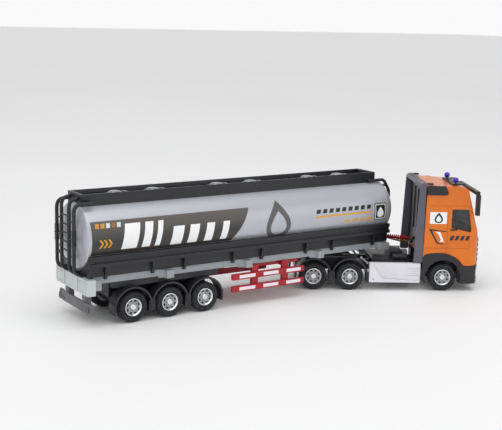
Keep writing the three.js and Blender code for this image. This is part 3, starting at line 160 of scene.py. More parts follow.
# mudguards, their stays and the skirts' louvres
ARCH_RADIUS = 13.65
ARCH_LIP = 0.65
FLAP_BOTTOM = 6.4
FLAP_INNER = 17.8
FLAP_REACH = 0.7
FLAP_RISE = 3.6
VALLEY_REACH = 2.3
STAY_Y = 21.5
STAY_TOP = (36.6, 24.4)
STAY_FOOT = (41.4, 20.4)
STAY_RADIUS = 0.6
LOUVRES = 4
LOUVRE_RISE = 5.4
LOUVRE_PITCH = 1.8
LOUVRE_GAP = 0.45

# air lines
HOSE_COIL = 1.3
HOSE_WIRE = 0.55
HOSE_PITCH = 1.6
HOSE_LEAD = 3.5
HOSE_TURN_STEPS = 14
HOSE_FLARE = 10

tank_low, tank_high = local_box("tank_shell", TRAILER)
tank_half = Vector((0, tank_high.y, (tank_high.z - tank_low.z) / 2))
tank_z = (tank_high.z + tank_low.z) / 2
tank_rear = tank_low.x + TANK_CAP_RISE + TANK_RIM
tank_front = tank_high.x - TANK_DOME_RISE
cradle_low, cradle_high = local_box("tank_cradle", TRAILER)
cab_high = local_box("cab_shell", TRACTOR)[1]
wheel_z = joints["trailer_axle_1_spin"]["pos_m"][2] / MM

# ---- materials


class Shader:
    """A Principled material whose colour, roughness and surface vary through noise."""

    def __init__(self, name, **inputs):
        """Inputs are the Principled node's own, with _ for each space."""
        self.material = bpy.data.materials.new(name)
        self.material.use_nodes = True
        self.tree = self.material.node_tree
        self.surface = self.tree.nodes["Principled BSDF"]
        for key, value in inputs.items():
            self.surface.inputs[key.replace("_", " ")].default_value = value
        self.place = self.tree.nodes.new("ShaderNodeTexCoord").outputs["Object"]

    def node(self, kind, **settings):
        node = self.tree.nodes.new("ShaderNode" + kind)
        for key, value in settings.items():
            if hasattr(node, key):
                setattr(node, key, value)
            else:
                node.inputs[key.replace("_", " ")].default_value = value
        return node

    def link(self, output, target):
        self.tree.links.new(output, target)

    def noise(self, size_mm, detail=3.0, roughness=0.55, stretch=(1, 1, 1)):
        """Noise whose patches are about size_mm across."""
        mapping = self.node("Mapping")
        mapping.inputs["Scale"].default_value = [s / (size_mm * MM) for s in stretch]
        self.link(self.place, mapping.inputs["Vector"])
        noise = self.node("TexNoise", Scale=1.0, Detail=detail, Roughness=roughness)
        self.link(mapping.outputs["Vector"], noise.inputs["Vector"])
        return noise.outputs["Fac"]

    def colours(self, factor, *stops):
        """Colour along a ramp of (position, colour) stops."""
        node = self.node("ValToRGB")
        elements = node.color_ramp.elements
        while len(elements) < len(stops):
            elements.new(0.5)
        for element, (position, colour) in zip(elements, stops):
            element.position = position
            element.color = (*colour, 1)
        self.link(factor, node.inputs["Fac"])
        self.link(node.outputs["Color"], self.surface.inputs["Base Color"])

    def roughen(self, factor, low, high):
        spread = self.node("MapRange", From_Min=0.3, From_Max=0.7, To_Min=low, To_Max=high)
        self.link(factor, spread.inputs["Value"])
        self.link(spread.outputs["Result"], self.surface.inputs["Roughness"])

    def relief(self, *layers):
        """Bumps, each a (height, depth in mm, strength) layer over the one before."""
        normal = None
        for height, depth, strength in layers:
            bump = self.node("Bump", Strength=strength, Distance=depth * MM)
            self.link(height, bump.inputs["Height"])
            if normal:
                self.link(normal, bump.inputs["Normal"])
            normal = bump.outputs["Normal"]
        self.link(normal, self.surface.inputs["Normal"])


def tinted(colour, by):
    """A colour made lighter or darker, none of it above 1."""
    return tuple(min(1.0, c * by) for c in colour)


def moulded(name, colour, rough=(0.35, 0.5), grain=0.012, mottle=0.12, **inputs):
    """Injection-moulded plastic: faint flow marks, a fine spark-eroded grain and uneven gloss."""
    shader = Shader(name, **inputs)
    flow = shader.noise(9, 2.0, stretch=(0.35, 1, 1))
    spread = ((0.35, tinted(colour, 1 - mottle)), (0.65, tinted(colour, 1 + mottle)))
    shader.colours(flow, *spread)
    shader.roughen(shader.noise(4, 4.0), *rough)
    shader.relief((shader.noise(0.22, 2.0), grain, 0.5), (shader.noise(6, 1.0), 0.03, 0.25))
    return shader.material


def lacquer(name, colour, rough=(0.2, 0.3), peel=0.006, flake=0.0, **inputs):
    """Sprayed lacquer: orange peel, and for a metallic one a fine flake in its colour."""
    shader = Shader(name, **inputs)
    size, spread = (0.12, 0.10 + flake) if flake else (14, 0.05)
    factor = shader.noise(size, 2.0)
    shader.colours(factor, (0.35, tinted(colour, 1 - spread)), (0.65, tinted(colour, 1 + spread)))
    shader.roughen(shader.noise(7, 3.0), *rough)
    shader.relief((shader.noise(0.9, 1.0), peel, 0.35), (shader.noise(16, 0.0), 0.02, 0.2))
    return shader.material


def plated(name, colour, rough=(0.08, 0.2)):
    """Vacuum-plated plastic: bright, with slight ripples and dulled patches."""
    shader = Shader(name, Metallic=1.0)
    shader.colours(shader.noise(3, 3.0), (0.3, tinted(colour, 0.86)), (0.6, colour))
    shader.roughen(shader.noise(1.2, 4.0), *rough)
    shader.relief((shader.noise(1.6, 2.0), 0.01, 0.3))
    return shader.material


def rubber(name, colour):
    """Soft tyre compound: matt, dusty and finely pitted."""
    shader = Shader(name, Specular_IOR_Level=0.35)
    dust = shader.noise(2.6, 5.0)
    shader.colours(dust, (0.35, tinted(colour, 0.8)), (0.5, colour), (0.72, tinted(colour, 1.9)))
    shader.roughen(shader.noise(1.5, 4.0), 0.62, 0.85)
    shader.relief((shader.noise(0.18, 3.0), 0.02, 0.6), (shader.noise(1.4, 2.0), 0.03, 0.2))
    return shader.material


def ink_surface(shader):
    """Gives a material the satin and the trace of screen texture of pad-printed ink."""
    shader.roughen(shader.noise(3, 3.0), 0.3, 0.45)
    shader.relief((shader.noise(0.3, 2.0), 0.004, 0.4))
    return shader.material


def printed(name, colour, mottle=0.07):
    """Printed ink of one colour."""
    shader = Shader(name)
    spread = ((0.3, tinted(colour, 1 - mottle)), (0.7, tinted(colour, 1 + mottle)))
    shader.colours(shader.noise(0.5, 3.0), *spread)
    return ink_surface(shader)


def shaded(name, low, high, *stops):
    """Printed ink with painted light and shade: its tone changes between two heights in mm, as a
    ramp of (position, colour).
    """
    shader = Shader(name)
    split = shader.node("SeparateXYZ")
    shader.link(shader.place, split.inputs["Vector"])
    rise = shader.node("MapRange", From_Min=low * MM, From_Max=high * MM)
    shader.link(split.outputs["Z"], rise.inputs["Value"])
    shader.colours(rise.outputs["Result"], *stops)
    return ink_surface(shader)


def clear(name, colour, rough, **inputs):
    """Clear moulding with slight flow ripples."""
    shader = Shader(name, Transmission_Weight=0.92, IOR=1.46, **inputs)
    shader.colours(shader.noise(8, 1.0), (0.3, tinted(colour, 0.94)), (0.7, colour))
    shader.roughen(shader.noise(5, 2.0), rough, rough + 0.04)
    shader.relief((shader.noise(6, 1.0), 0.02, 0.2))
    return shader.material


FINISHES = {
    "black_plastic": moulded("black_plastic", (0.012, 0.0125, 0.017), (0.3, 0.46)),
    "frame_grey": moulded("frame_grey", (0.3, 0.32, 0.34), (0.38, 0.52), mottle=0.05),
    "tank_silver": lacquer(
        "tank_silver", (0.47, 0.48, 0.525), (0.34, 0.42), flake=0.04, Metallic=0.35, Coat_Weight=0.2
    ),
    # The lids' plating is darkened to 0.5: painted reflection of the black surroundings they
    # mirror.
    "hatch_chrome": plated("hatch_chrome", (0.5, 0.51, 0.53), (0.12, 0.26)),
    "panel_grey": moulded("panel_grey", (0.52, 0.56, 0.56), (0.35, 0.48), mottle=0.03),
    "bar_grey": moulded("bar_grey", (0.12, 0.12, 0.125), (0.35, 0.5), mottle=0.08),
    "guard_red": moulded("guard_red", (0.37, 0.004, 0.012), (0.28, 0.42), mottle=0.08),
    "hose_red": moulded("hose_red", (0.42, 0.006, 0.008), (0.18, 0.3), grain=0.004),
    "hose_yellow": moulded("hose_yellow", (0.2, 0.17, 0.02), (0.18, 0.3), grain=0.004),
    "skirt_white": moulded("skirt_white", (0.72, 0.72, 0.76), (0.25, 0.38), mottle=0.02),
    "cab_orange": lacquer("cab_orange", (0.7, 0.155, 0.0), (0.26, 0.38), Coat_Weight=0.12),
    # The glazing is tinted dark so the windows read dark: painted shade of the cab's shaded
    # interior, behind clear windows.
    "glazing": clear("glazing", (0.2, 0.21, 0.23), 0.02),
    "lamp_lens": clear("lamp_lens", (0.93, 0.95, 0.97), 0.03),
    "beacon_blue": moulded(
        "beacon_blue", (0.045, 0.004, 0.5), (0.08, 0.16), grain=0.002, Coat_Weight=0.6
    ),
    "fairing_grey": moulded("fairing_grey", (0.1, 0.096, 0.122), (0.3, 0.42), mottle=0.05),
    "axle_steel": plated("axle_steel", (0.5, 0.5, 0.5), (0.25, 0.4)),
    "rim_chrome": plated("rim_chrome", (0.82, 0.83, 0.85)),
    "tyre_rubber": rubber("tyre_rubber", (0.017, 0.018, 0.02)),
}
# The tank band's ink: darkest a little below its middle and lighter to the top, painted shade and
# highlight along the tank's curve.
INK_DARK = shaded(
    "ink_dark_painted_shade", 46, 70,
    (0.0, (0.05, 0.043, 0.038)), (0.4, (0.03, 0.027, 0.025)), (1.0, (0.11, 0.098, 0.087)),
)
INK_BLACK = printed("ink_black", (0.012, 0.012, 0.013))
INK_WHITE = printed("ink_white", (0.86, 0.87, 0.88), 0.02)
INK_OCHRE = printed("ink_ochre", (0.62, 0.27, 0.03))
INK_AMBER = printed("ink_amber", (0.72, 0.33, 0.01))
INK_BROWN = printed("ink_brown", (0.3, 0.13, 0.03))
INK_PALE = printed("ink_pale", (0.62, 0.7, 0.68), 0.03)
INK_GREY = printed("ink_grey", (0.1, 0.098, 0.1))
REFLECTOR = printed("reflector", (0.86, 0.78, 0.84), 0.04)
# The rim's recessed dish is plated darker than its lip: painted shade in the recess.
RIM_DISH_SHADE = plated("rim_dish_painted_shade", (0.34, 0.35, 0.37), (0.2, 0.35))
# The bottoms of the rim slots are black: painted shade in the slots.
SLOT_SHADE_BLACK = moulded("slot_painted_shade", (0.012, 0.012, 0.013), (0.4, 0.6))

# ---- meshes


class Shape:
    """Points and faces in a place's millimetres, with a finish number for each face."""

    def __init__(self, points=(), faces=()):
        self.points = [Vector(p) for p in points]
        self.faces = [list(face) for face in faces]
        self.finishes = [0] * len(self.faces)

    def add(self, *others):
        for other in others:
            start = len(self.points)
            self.points += other.points
            self.faces += [[i + start for i in face] for face in other.faces]
            self.finishes += other.finishes
        return self

    def moved(self, matrix):
        copy = Shape([matrix @ p for p in self.points], self.faces)
        copy.finishes = list(self.finishes)
        return copy


def shift(x=0, y=0, z=0):
    return Matrix.Translation((x, y, z))


def lathe(profile, segments):
    """A closed profile of (radius, y) points turned about y; radius 0 closes at a point."""
    points, rings = [], []
    for radius, y in profile:
        if radius < 1e-6:
            rings.append([len(points)] * segments)
            points.append((0, y, 0))
            continue
        rings.append(list(range(len(points), len(points) + segments)))
        for i in range(segments):
            angle = 2 * math.pi * i / segments
            points.append((radius * math.sin(angle), y, radius * math.cos(angle)))
    faces = []
    pairs = list(zip(rings, rings[1:]))
    if profile[0][0] > 1e-6:
        pairs.append((rings[-1], rings[0]))
    for low, high in pairs:
        for i in range(segments):
            j = (i + 1) % segments
            corners = []
            for index in (low[i], low[j], high[j], high[i]):
                if index not in corners:
                    corners.append(index)
            if len(corners) > 2:
                faces.append(corners)
    return Shape(points, faces)


def rounded(points, bend, steps=6):
    """The path through points with each inner corner rounded from the bend length before it."""
    points = [Vector(p) for p in points]
    path = [points[0]]
    for before, corner, after in zip(points, points[1:], points[2:]):
        enter = corner + (before - corner).normalized() * bend
        leave = corner + (after - corner).normalized() * bend
        for i in range(steps + 1):
            t = i / steps
            path.append((1 - t) ** 2 * enter + 2 * t * (1 - t) * corner + t * t * leave)
    return path + [points[-1]]


def sweep(path, radius, sides=14):
    """A round rod along a path."""
    path = [Vector(p) for p in path]
    tangents = []
    for i in range(len(path)):
        tangents.append((path[min(i + 1, len(path) - 1)] - path[max(i - 1, 0)]).normalized())
    across = tangents[0].orthogonal().normalized()
    points = []
    for centre, tangent in zip(path, tangents):
        across = (across - tangent * across.dot(tangent)).normalized()
        over = tangent.cross(across)
        for i in range(sides):
            angle = 2 * math.pi * i / sides
            points.append(centre + radius * (math.cos(angle) * across + math.sin(angle) * over))
    faces = [list(range(sides))[::-1], [len(points) - sides + i for i in range(sides)]]
    for ring in range(len(path) - 1):
        for i in range(sides):
            j = (i + 1) % sides
            low = ring * sides
            faces.append([low + i, low + j, low + sides + j, low + sides + i])
    return Shape(points, faces)


def block(x, y, z):
    """A box over three (low, high) spans."""
    points = [(a, b, c) for c in z for b in y for a in x]
    faces = [(0, 2, 3, 1), (4, 5, 7, 6), (0, 1, 5, 4), (2, 6, 7, 3), (0, 4, 6, 2), (1, 3, 7, 5)]
    return Shape(points, faces)


def plate(outline, y):
    """An (x, z) outline given anticlockwise as seen from -y, drawn out between two y values."""
    low, high = min(y), max(y)
    count = len(outline)
    points = [(x, low, z) for x, z in outline] + [(x, high, z) for x, z in outline]
    faces = [list(range(count)), list(range(2 * count - 1, count - 1, -1))]
    for i in range(count):
        j = (i + 1) % count
        faces.append([i, i + count, j + count, j])
    return Shape(points, faces)


def span(side, inner, outer):
    """A span of y measured outwards from the centreline, on the side with that sign."""
    return tuple(sorted((side * inner, side * outer)))


def add(name, shape, body, slot, place, materials=None, smooth=38, bevel=0.0):
    """Makes a piece from a shape and rides it on a body.

    It has the slot's own finish unless materials are given.
    """
    mesh = bpy.data.meshes.new(name)
    mesh.from_pydata([place @ p for p in shape.points], [], shape.faces)
    for polygon, finish in zip(mesh.polygons, shape.finishes):
        polygon.material_index = finish
    mesh.validate()
    return install(name, mesh, materials or [FINISHES[slot]], body, smooth, bevel)


def install(name, mesh, materials, body, smooth=38, bevel=0.0):
    """Makes a piece from a mesh, as add does from a shape."""
    for material in materials:
        mesh.materials.append(material)
    mesh.shade_smooth()
    mesh.set_sharp_from_angle(angle=math.radians(smooth))
    piece = bpy.data.objects.new(name, mesh)
    bpy.context.scene.collection.objects.link(piece)
    if bevel:
        soften(piece, bevel)
    if body:
        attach(piece, body)
    return piece


def soften(piece, width):
    """Rounds a piece's moulded edges."""
    modifier = piece.modifiers.new("edges", "BEVEL")
    modifier.width = width * MM
    modifier.segments = 2
    modifier.limit_method = "ANGLE"
    modifier.angle_limit = math.radians(40)
    modifier.use_clamp_overlap = True
    modifier.harden_normals = True


def finished(node, bevel=BEVEL, cutters=(), place=None):
    """A CAD node as its finished moulding: same form, with soft edges and any grooves cut in."""
    mesh = frame["nodes"][node].data.copy()
    mesh.materials.clear()
    work = bmesh.new()
    work.from_mesh(mesh)
    bmesh.ops.remove_doubles(work, verts=work.verts, dist=1e-6)
    flat = math.radians(0.6)
    bmesh.ops.dissolve_limit(work, angle_limit=flat, verts=work.verts, edges=work.edges)
    work.to_mesh(mesh)
    work.free()
    for polygon in mesh.polygons:
        polygon.material_index = 0
    body, slot = frame["nodes"][node]["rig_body"], slots[node]
    piece = install(f"{node}_moulding", mesh, [FINISHES[slot]], body)
    if cutters:
        carve(piece, Shape().add(*cutters), place)
    soften(piece, bevel)
    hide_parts(node)
    return piece


def carve(piece, cutter, place):
    """Cuts a shape out of a piece, and leaves the result as the piece's own mesh."""
    mesh = bpy.data.meshes.new("cutter")
    mesh.from_pydata([place @ p for p in cutter.points], [], cutter.faces)
    tool = bpy.data.objects.new("cutter", mesh)
    bpy.context.scene.collection.objects.link(tool)
    modifier = piece.modifiers.new("cut", "BOOLEAN")
    modifier.operation = "DIFFERENCE"
    modifier.solver = "EXACT"
    modifier.use_self = True
    modifier.object = tool
    graph = bpy.context.evaluated_depsgraph_get()
    result = bpy.data.meshes.new_from_object(piece.evaluated_get(graph))
    piece.modifiers.remove(modifier)
    piece.data = result
    result.set_sharp_from_angle(angle=math.radians(38))
    bpy.data.objects.remove(tool)
    bpy.data.meshes.remove(mesh)


# ---- wheels


def tyre_shape():
    """A tyre about y with a grooved tread, blocky shoulders and a stepped sidewall."""
    half = WHEEL_WIDTH / 2
    side = [
        (RIM_RADIUS + GAP, half - 0.9),
        (RIM_RADIUS + 0.35, half - 0.35),
        (RIM_RADIUS + 0.75, half - 0.12),
        (RIM_RADIUS + 1.15, half - 0.12),
        (RIM_RADIUS + 1.3, half - 0.3),
        (RIM_RADIUS + 1.9, half - 0.12),
        (RIM_RADIUS + 2.6, half),
        (wheel_z - 1.15, half - 0.08),
        (wheel_z - 1.0, half - 0.3),
        (wheel_z - 0.6, half - 0.34),
        (wheel_z - 0.22, half - 0.66),
    ]
    floor = wheel_z - TREAD_DEPTH
    tread = [(wheel_z, half - 1.05)]
    for y in reversed(TREAD_GROOVES):
        tread += [(wheel_z, y + 0.3), (floor, y + 0.2), (floor, y - 0.2), (wheel_z, y - 0.3)]
    tread.append((wheel_z, -half + 1.05))
    profile = side + tread + [(r, -y) for r, y in reversed(side)]
    segments = TREAD_NOTCHES * 4
    shape = lathe([(r, -y) for r, y in profile], segments)
    for point in shape.points:
        angle = math.atan2(point.x, point.z)
        radius = math.hypot(point.x, point.z)
        in_notch = round(angle * segments / (2 * math.pi)) % 4 == 0
        if in_notch and abs(point.y) > 2.15 and radius > wheel_z - 0.7:
            shrink = (radius - TREAD_DEPTH) / radius
            point.x *= shrink
            point.z *= shrink
    return shape


def rim_shape():
    """A dished rim about y, outer face towards +y, with a lip, slots, wheel nuts and a hub cap."""
    half = WHEEL_WIDTH / 2
    face = half - GAP
    dish = face - 1.1
    segments = RIM_SLOTS * SLOT_STEPS
    profile = [
        (0, -half + 0.9),
        (RIM_RADIUS, -half + 0.9),
        (RIM_RADIUS, face - 0.1),
        (RIM_RADIUS - 0.12, face),
        (RIM_RADIUS - 0.5, face),
        (RIM_RADIUS - 0.66, face - 0.12),
        (RIM_RADIUS - 0.9, face - 0.65),
        (5.0, face - 0.8),
        (SLOT_OUTER, dish + 0.2),
        (SLOT_INNER, dish + 0.1),
        (3.55, dish + 0.28),
        (3.1, dish + 0.3),
        (2.85, dish + 0.1),
        (2.4, dish + 0.1),
        (2.1, dish + 0.35),
        (1.95, face - 0.3),
        (1.75, face - 0.12),
        (1.2, face - 0.08),
        (1.1, face - 0.25),
        (0.95, face - 0.25),
        (0.85, face - 0.02),
        (0, face),
    ]
    shape = lathe(profile, segments)
    mesh = bpy.data.meshes.new("rim")
    mesh.from_pydata(shape.points, [], shape.faces)
    work = bmesh.new()
    work.from_mesh(mesh)
    bmesh.ops.recalc_face_normals(work, faces=work.faces)
    for number in range(RIM_SLOTS):
        first = number * SLOT_STEPS + SLOT_STEPS // 4
        chosen = []
        for f in work.faces:
            middle = f.calc_center_median()
            radius = math.hypot(middle.x, middle.z)
            turn = (math.atan2(middle.x, middle.z) / (2 * math.pi)) * segments % segments
            inside = first <= turn < first + SLOT_STEPS // 2
            if inside and SLOT_INNER < radius < SLOT_OUTER and middle.y > 0:
                chosen.append(f)
        pushed = bmesh.ops.extrude_face_region(work, geom=chosen)
        verts = [g for g in pushed["geom"] if isinstance(g, bmesh.types.BMVert)]
        bmesh.ops.translate(work, verts=verts, vec=(0, -SLOT_DEPTH, 0))
        bmesh.ops.delete(work, geom=chosen, context="FACES")
        # The slot bottoms take finish 1, black for painted shade in the slots.
        for f in work.faces:
            if all(v in verts for v in f.verts):
                f.material_index = 1
    # Faces of the recessed dish take finish 2, the darker plating that paints shade into the
    # recess.
    for f in work.faces:
        middle = f.calc_center_median()
        radius = math.hypot(middle.x, middle.z)
        if f.material_index == 0 and middle.y > dish - 0.5 and DISH_INNER < radius < DISH_OUTER:
            f.material_index = 2
    work.verts.index_update()
    rim = Shape([v.co.copy() for v in work.verts], [[v.index for v in f.verts] for f in work.faces])
    rim.finishes = [f.material_index for f in work.faces]
    work.free()
    bpy.data.meshes.remove(mesh)
    nut = lathe([(0, 0), (0.24, 0), (0.24, 0.26), (0.15, 0.34), (0, 0.34)], 6)
    for i in range(RIM_SLOTS):
        angle = 2 * math.pi * (i + 0.5) / RIM_SLOTS
        seat = shift(NUT_RING * math.sin(angle), dish + 0.24, NUT_RING * math.cos(angle))
        rim.add(nut.moved(seat))
    return rim


def axle_place(axle):
    """The place of an axle, with y along it and its origin at its middle."""
    joint = joints[f"{axle}_spin"]
    y = Vector(joint["axis"])
    z = Vector((0, 0, 1))
    turn = Matrix((y.cross(z), y, z)).transposed().to_4x4()
    return Matrix.Translation(joint["pos_m"]) @ turn @ Matrix.Scale(MM, 4)


AXLES = [f"trailer_axle_{i}" for i in (1, 2, 3)] + ["drive_axle_1", "drive_axle_2", "steer_axle"]


def dress_wheels():
    """A plated rim and a rubber tyre at both ends of every axle, and steel for its shaft."""
    tyre, rim = tyre_shape(), rim_shape()
    for axle in AXLES:
        place = axle_place(axle)
        frame["nodes"][f"{axle}_shaft"].data.materials.clear()
        frame["nodes"][f"{axle}_shaft"].data.materials.append(FINISHES["axle_steel"])
        for side, sign in (("left", 1), ("right", -1)):
            node = f"{axle}_rim_{side}"
            turn = Matrix.Rotation(0 if sign > 0 else math.pi, 4, "Z")
            turn = shift(0, sign * WHEEL_CENTRE, 0) @ turn
            # Chrome, then black painted shade in the slots, then darker plating as painted shade in
            # the dish.
            finishes = [FINISHES["rim_chrome"], SLOT_SHADE_BLACK, RIM_DISH_SHADE]
            name = f"{node}_plated"
            piece = add(name, rim.moved(turn), axle, "rim_chrome", place, finishes, smooth=30)
            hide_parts(node)
            node = f"{axle}_tyre_{side}"
            name = f"{node}_rubber"
            piece = add(name, tyre.moved(turn), axle, "tyre_rubber", place, smooth=32)
            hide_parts(node)


# ---- tank


def tank_shape():
    """The tank about the x axis: flat rear cap with a rounded rim, long barrel and front dome."""
    a = tank_half.y
    rim_start = a - TANK_RIM
    cap_end = tank_rear - TANK_RIM - TANK_CAP_RISE
    profile = [(0, cap_end)]
    for i in range(1, 12):
        share = i / 12
        profile.append((rim_start * share, cap_end + TANK_CAP_RISE * share**2.3))
    for i in range(9):
        angle = i / 8 * math.pi / 2
        radius = rim_start + TANK_RIM * math.sin(angle)
        profile.append((radius, tank_rear - TANK_RIM * math.cos(angle)))
    for i in range(1, 40):
        profile.append((a, tank_rear + (tank_front - tank_rear) * i / 40))
    for i in range(22):
        angle = i / 22 * math.pi / 2
        profile.append((a * math.cos(angle) ** 0.8, tank_front + TANK_DOME_RISE * math.sin(angle)))
    profile.append((0, tank_front + TANK_DOME_RISE))
    turned = lathe(profile, 160)
    squash = Matrix.Scale(tank_half.z / tank_half.y, 4, (0, 0, 1))
    lie = Matrix.Rotation(-math.pi / 2, 4, "Z")
    return turned.moved(shift(z=tank_z) @ squash @ lie)


def on_tank(x, z, side, lift):
    """The point on the tank's side at that x and height, lifted off the surface."""
    share = (z - tank_z) / tank_half.z
    y = tank_half.y * math.sqrt(max(0.0, 1 - share * share))
    normal = Vector((0, y / tank_half.y**2, (z - tank_z) / tank_half.z**2)).normalized()
    point = Vector((x, y, z)) + lift * normal
    point.y *= side
    return point


def on_cab(x, z, side, lift):
    """The point on the cab's flat side at that x and height, lifted off the surface."""
    return Vector((x, side * (cab_high.y + lift), z))


def slanted(x0, x1, z0, z1, lean=0.2):
    """A leaning parallelogram."""
    tip = lean * (z1 - z0)
    return [[(x0, z0), (x1, z0), (x1 + tip, z1), (x0 + tip, z1)]]


def row(count, x, pitch, width, z, lean=0.2, taper=0.0):
    """A row of leaning parallelograms between two heights, each narrower by the taper."""
    starts = [x + pitch * i for i in range(count)]
    return [slanted(start, start + width - taper * i, *z, lean) for i, start in enumerate(starts)]


def rounded_square(x0, x1, z0, z1, radius, steps=5):
    """The outline of a rectangle with rounded corners, anticlockwise."""
    outline = []
    corners = ((x1, z0, -90), (x1, z1, 0), (x0, z1, 90), (x0, z0, 180))
    for x, z, start in corners:
        cx = x - radius if x == x1 else x + radius
        cz = z - radius if z == z1 else z + radius
        for i in range(steps + 1):
            angle = math.radians(start + 90 * i / steps)
            outline.append((cx + radius * math.cos(angle), cz + radius * math.sin(angle)))
    return outline


def drop(x, z, size, steps=40):
    """A plain liquid drop, point up."""
    outline = []
    for i in range(steps):
        angle = 2 * math.pi * i / steps
        pinch = math.sin(angle / 2) ** 1.1
        outline.append((x + size * 1.05 * math.sin(angle) * pinch, z + size * math.cos(angle)))
    return outline[::-1]


INK_STRIP = 0.8
INK_ROOT = 0.02
INK_RISE = 0.04
OVERPRINT = 0.05


def decal(name, figures, ink, surface, body, slot, place, lift):
    """Printed figures, each a list of an outline and its holes, wrapped on both sides.

    They are cut into strips INK_STRIP high, which follow the surface's curve.
    """
    shape = Shape()
    for side in (-1, 1):
        work = bmesh.new()
        for loops in figures:
            corners = [p for loop in loops for p in loop]
            verts = [work.verts.new((x, 0, z)) for x, z in corners]
            for tri in tessellate_polygon([[Vector((x, z, 0)) for x, z in loop] for loop in loops]):
                work.faces.new([verts[i] for i in tri])
        heights = [v.co.z for v in work.verts]
        level = min(heights) + INK_STRIP
        while level < max(heights):
            everything = work.verts[:] + work.edges[:] + work.faces[:]
            cut = {"plane_co": (0, 0, level), "plane_no": (0, 0, 1)}
            bmesh.ops.bisect_plane(work, geom=everything, **cut)
            level += INK_STRIP
        bmesh.ops.recalc_face_normals(work, faces=work.faces)
        work.verts.index_update()
        bottom = [surface(v.co.x, v.co.z, side, lift - INK_ROOT) for v in work.verts]
        top = [surface(v.co.x, v.co.z, side, lift + INK_RISE) for v in work.verts]
        count = len(bottom)
        faces = []
        for f in work.faces:
            loop = [v.index for v in f.verts]
            if (f.normal.y < 0) == (side < 0):
                faces += [[i + count for i in loop], loop[::-1]]
            else:
                faces += [[i + count for i in loop[::-1]], loop]
        sheet = Shape(bottom + top, faces)
        for e in work.edges:
            if len(e.link_faces) == 1:
                a, b = (v.index for v in e.verts)
                sheet.faces.append([a, b, b + count, a + count])
                sheet.finishes.append(0)
        work.free()
        shape.add(sheet)
    piece = add(name, shape, body, slot, place, [ink], smooth=25)
    work = bmesh.new()
    work.from_mesh(piece.data)
    bmesh.ops.recalc_face_normals(work, faces=work.faces)
    work.to_mesh(piece.data)
    work.free()


BAND_TOP = 69.9
BAND_BOTTOM = 47.9
BAND_FRONT = (92.5, 87.4, 77.4)
BAND_BOW_Z = 59.7
CHEVRON_X = (-24.6, -21.5, -18.4)
STRIPE_SPANS = ((-8.6, 2.6), (6.4, 12.4), (16.2, 20.0))
DROP_X = 117
LINE = (150, 204, 57.9, 59.1)
BADGE = (206.6, 218.2, 51.4, 64.2)
BADGE_X = 212.4


def band_outline():
    """The dark band along the tank's side, its front end bowed forward."""
    outline = [(tank_rear + 0.3, BAND_BOTTOM)]
    for i in range(13):
        t = i / 12
        x = t * t * BAND_FRONT[0] + 2 * t * (1 - t) * BAND_FRONT[1] + (1 - t) ** 2 * BAND_FRONT[2]
        z = t * t * BAND_TOP + 2 * t * (1 - t) * BAND_BOW_Z + (1 - t) ** 2 * BAND_BOTTOM
        outline.append((x, z))
    return outline + [(tank_rear + 0.3, BAND_TOP)]


def chevron(x, z, reach, height, stroke):
    """A forward-pointing chevron."""
    low, high = z - height / 2, z + height / 2
    back = [(x, high), (x + reach, z)]
    return [[(x, low), (x + stroke, low), (x + stroke + reach, z), (x + stroke, high), *back]]


def badge_outline(inset, radius):
    """The badge's rounded square, drawn in from its edges."""
    x0, x1, z0, z1 = BADGE
    return rounded_square(x0 + inset, x1 - inset, z0 + inset, z1 - inset, radius)


def print_tank():
    """The plain shapes printed on both sides of the tank, from the rear forwards."""

    def tank_decal(name, figures, ink, lift=0.0):
        name = f"tank_print_{name}"
        decal(name, figures, ink, on_tank, "trailer", "tank_silver", TRAILER, lift)

    # The band's ink carries painted shade and highlight, lighter towards the top.
    tank_decal("band", [[band_outline()]], INK_DARK)
    squares = row(count=5, x=-27.0, pitch=3.9, width=2.8, z=(65.6, 68.5))
    tank_decal("squares_ochre", [squares[0], squares[1]], INK_OCHRE, OVERPRINT)
    tank_decal("squares_brown", [squares[3]], INK_BROWN, OVERPRINT)
    tank_decal("squares_pale", [squares[2], squares[4]], INK_PALE, OVERPRINT)
    chevrons = [chevron(x, z=55.5, reach=2.0, height=5.6, stroke=1.3) for x in CHEVRON_X]
    tank_decal("chevrons", chevrons, INK_AMBER, OVERPRINT)
    bars = [slanted(x0, x1, z0=50.6, z1=67.2) for x0, x1 in STRIPE_SPANS]
    bars += row(count=4, x=28.0, pitch=13.2, width=8.5, z=(50.0, 62.6), taper=1.1)
    tank_decal("stripes", bars, INK_WHITE, OVERPRINT)
    hole = drop(DROP_X, z=57.2, size=8.6)[::-1]
    tank_decal("drop", [[drop(DROP_X, z=59.2, size=13.6), hole]], INK_GREY)
    dashes = row(count=9, x=150.5, pitch=6.0, width=3.8, z=(60.8, 63.8), lean=0.35)
    tank_decal("dashes", dashes, INK_BLACK)
    lines = [slanted(*LINE, lean=0)]
    lines += row(count=4, x=177.5, pitch=7.2, width=5.0, z=(52.2, 54.0), lean=0.35)
    tank_decal("lines", lines, INK_AMBER)
    tank_decal("badge", [[badge_outline(0, 1.2)]], INK_BLACK)
    border = [badge_outline(0.7, 0.8), badge_outline(1.3, 0.5)[::-1]]
    tank_decal("badge_mark", [border, [drop(BADGE_X, z=57.4, size=4.0)]], INK_WHITE, OVERPRINT)


def dress_tank():
    piece = add("tank_lacquered", tank_shape(), "trailer", "tank_silver", TRAILER)
    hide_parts("tank_shell")
    print_tank()


# ---- trailer


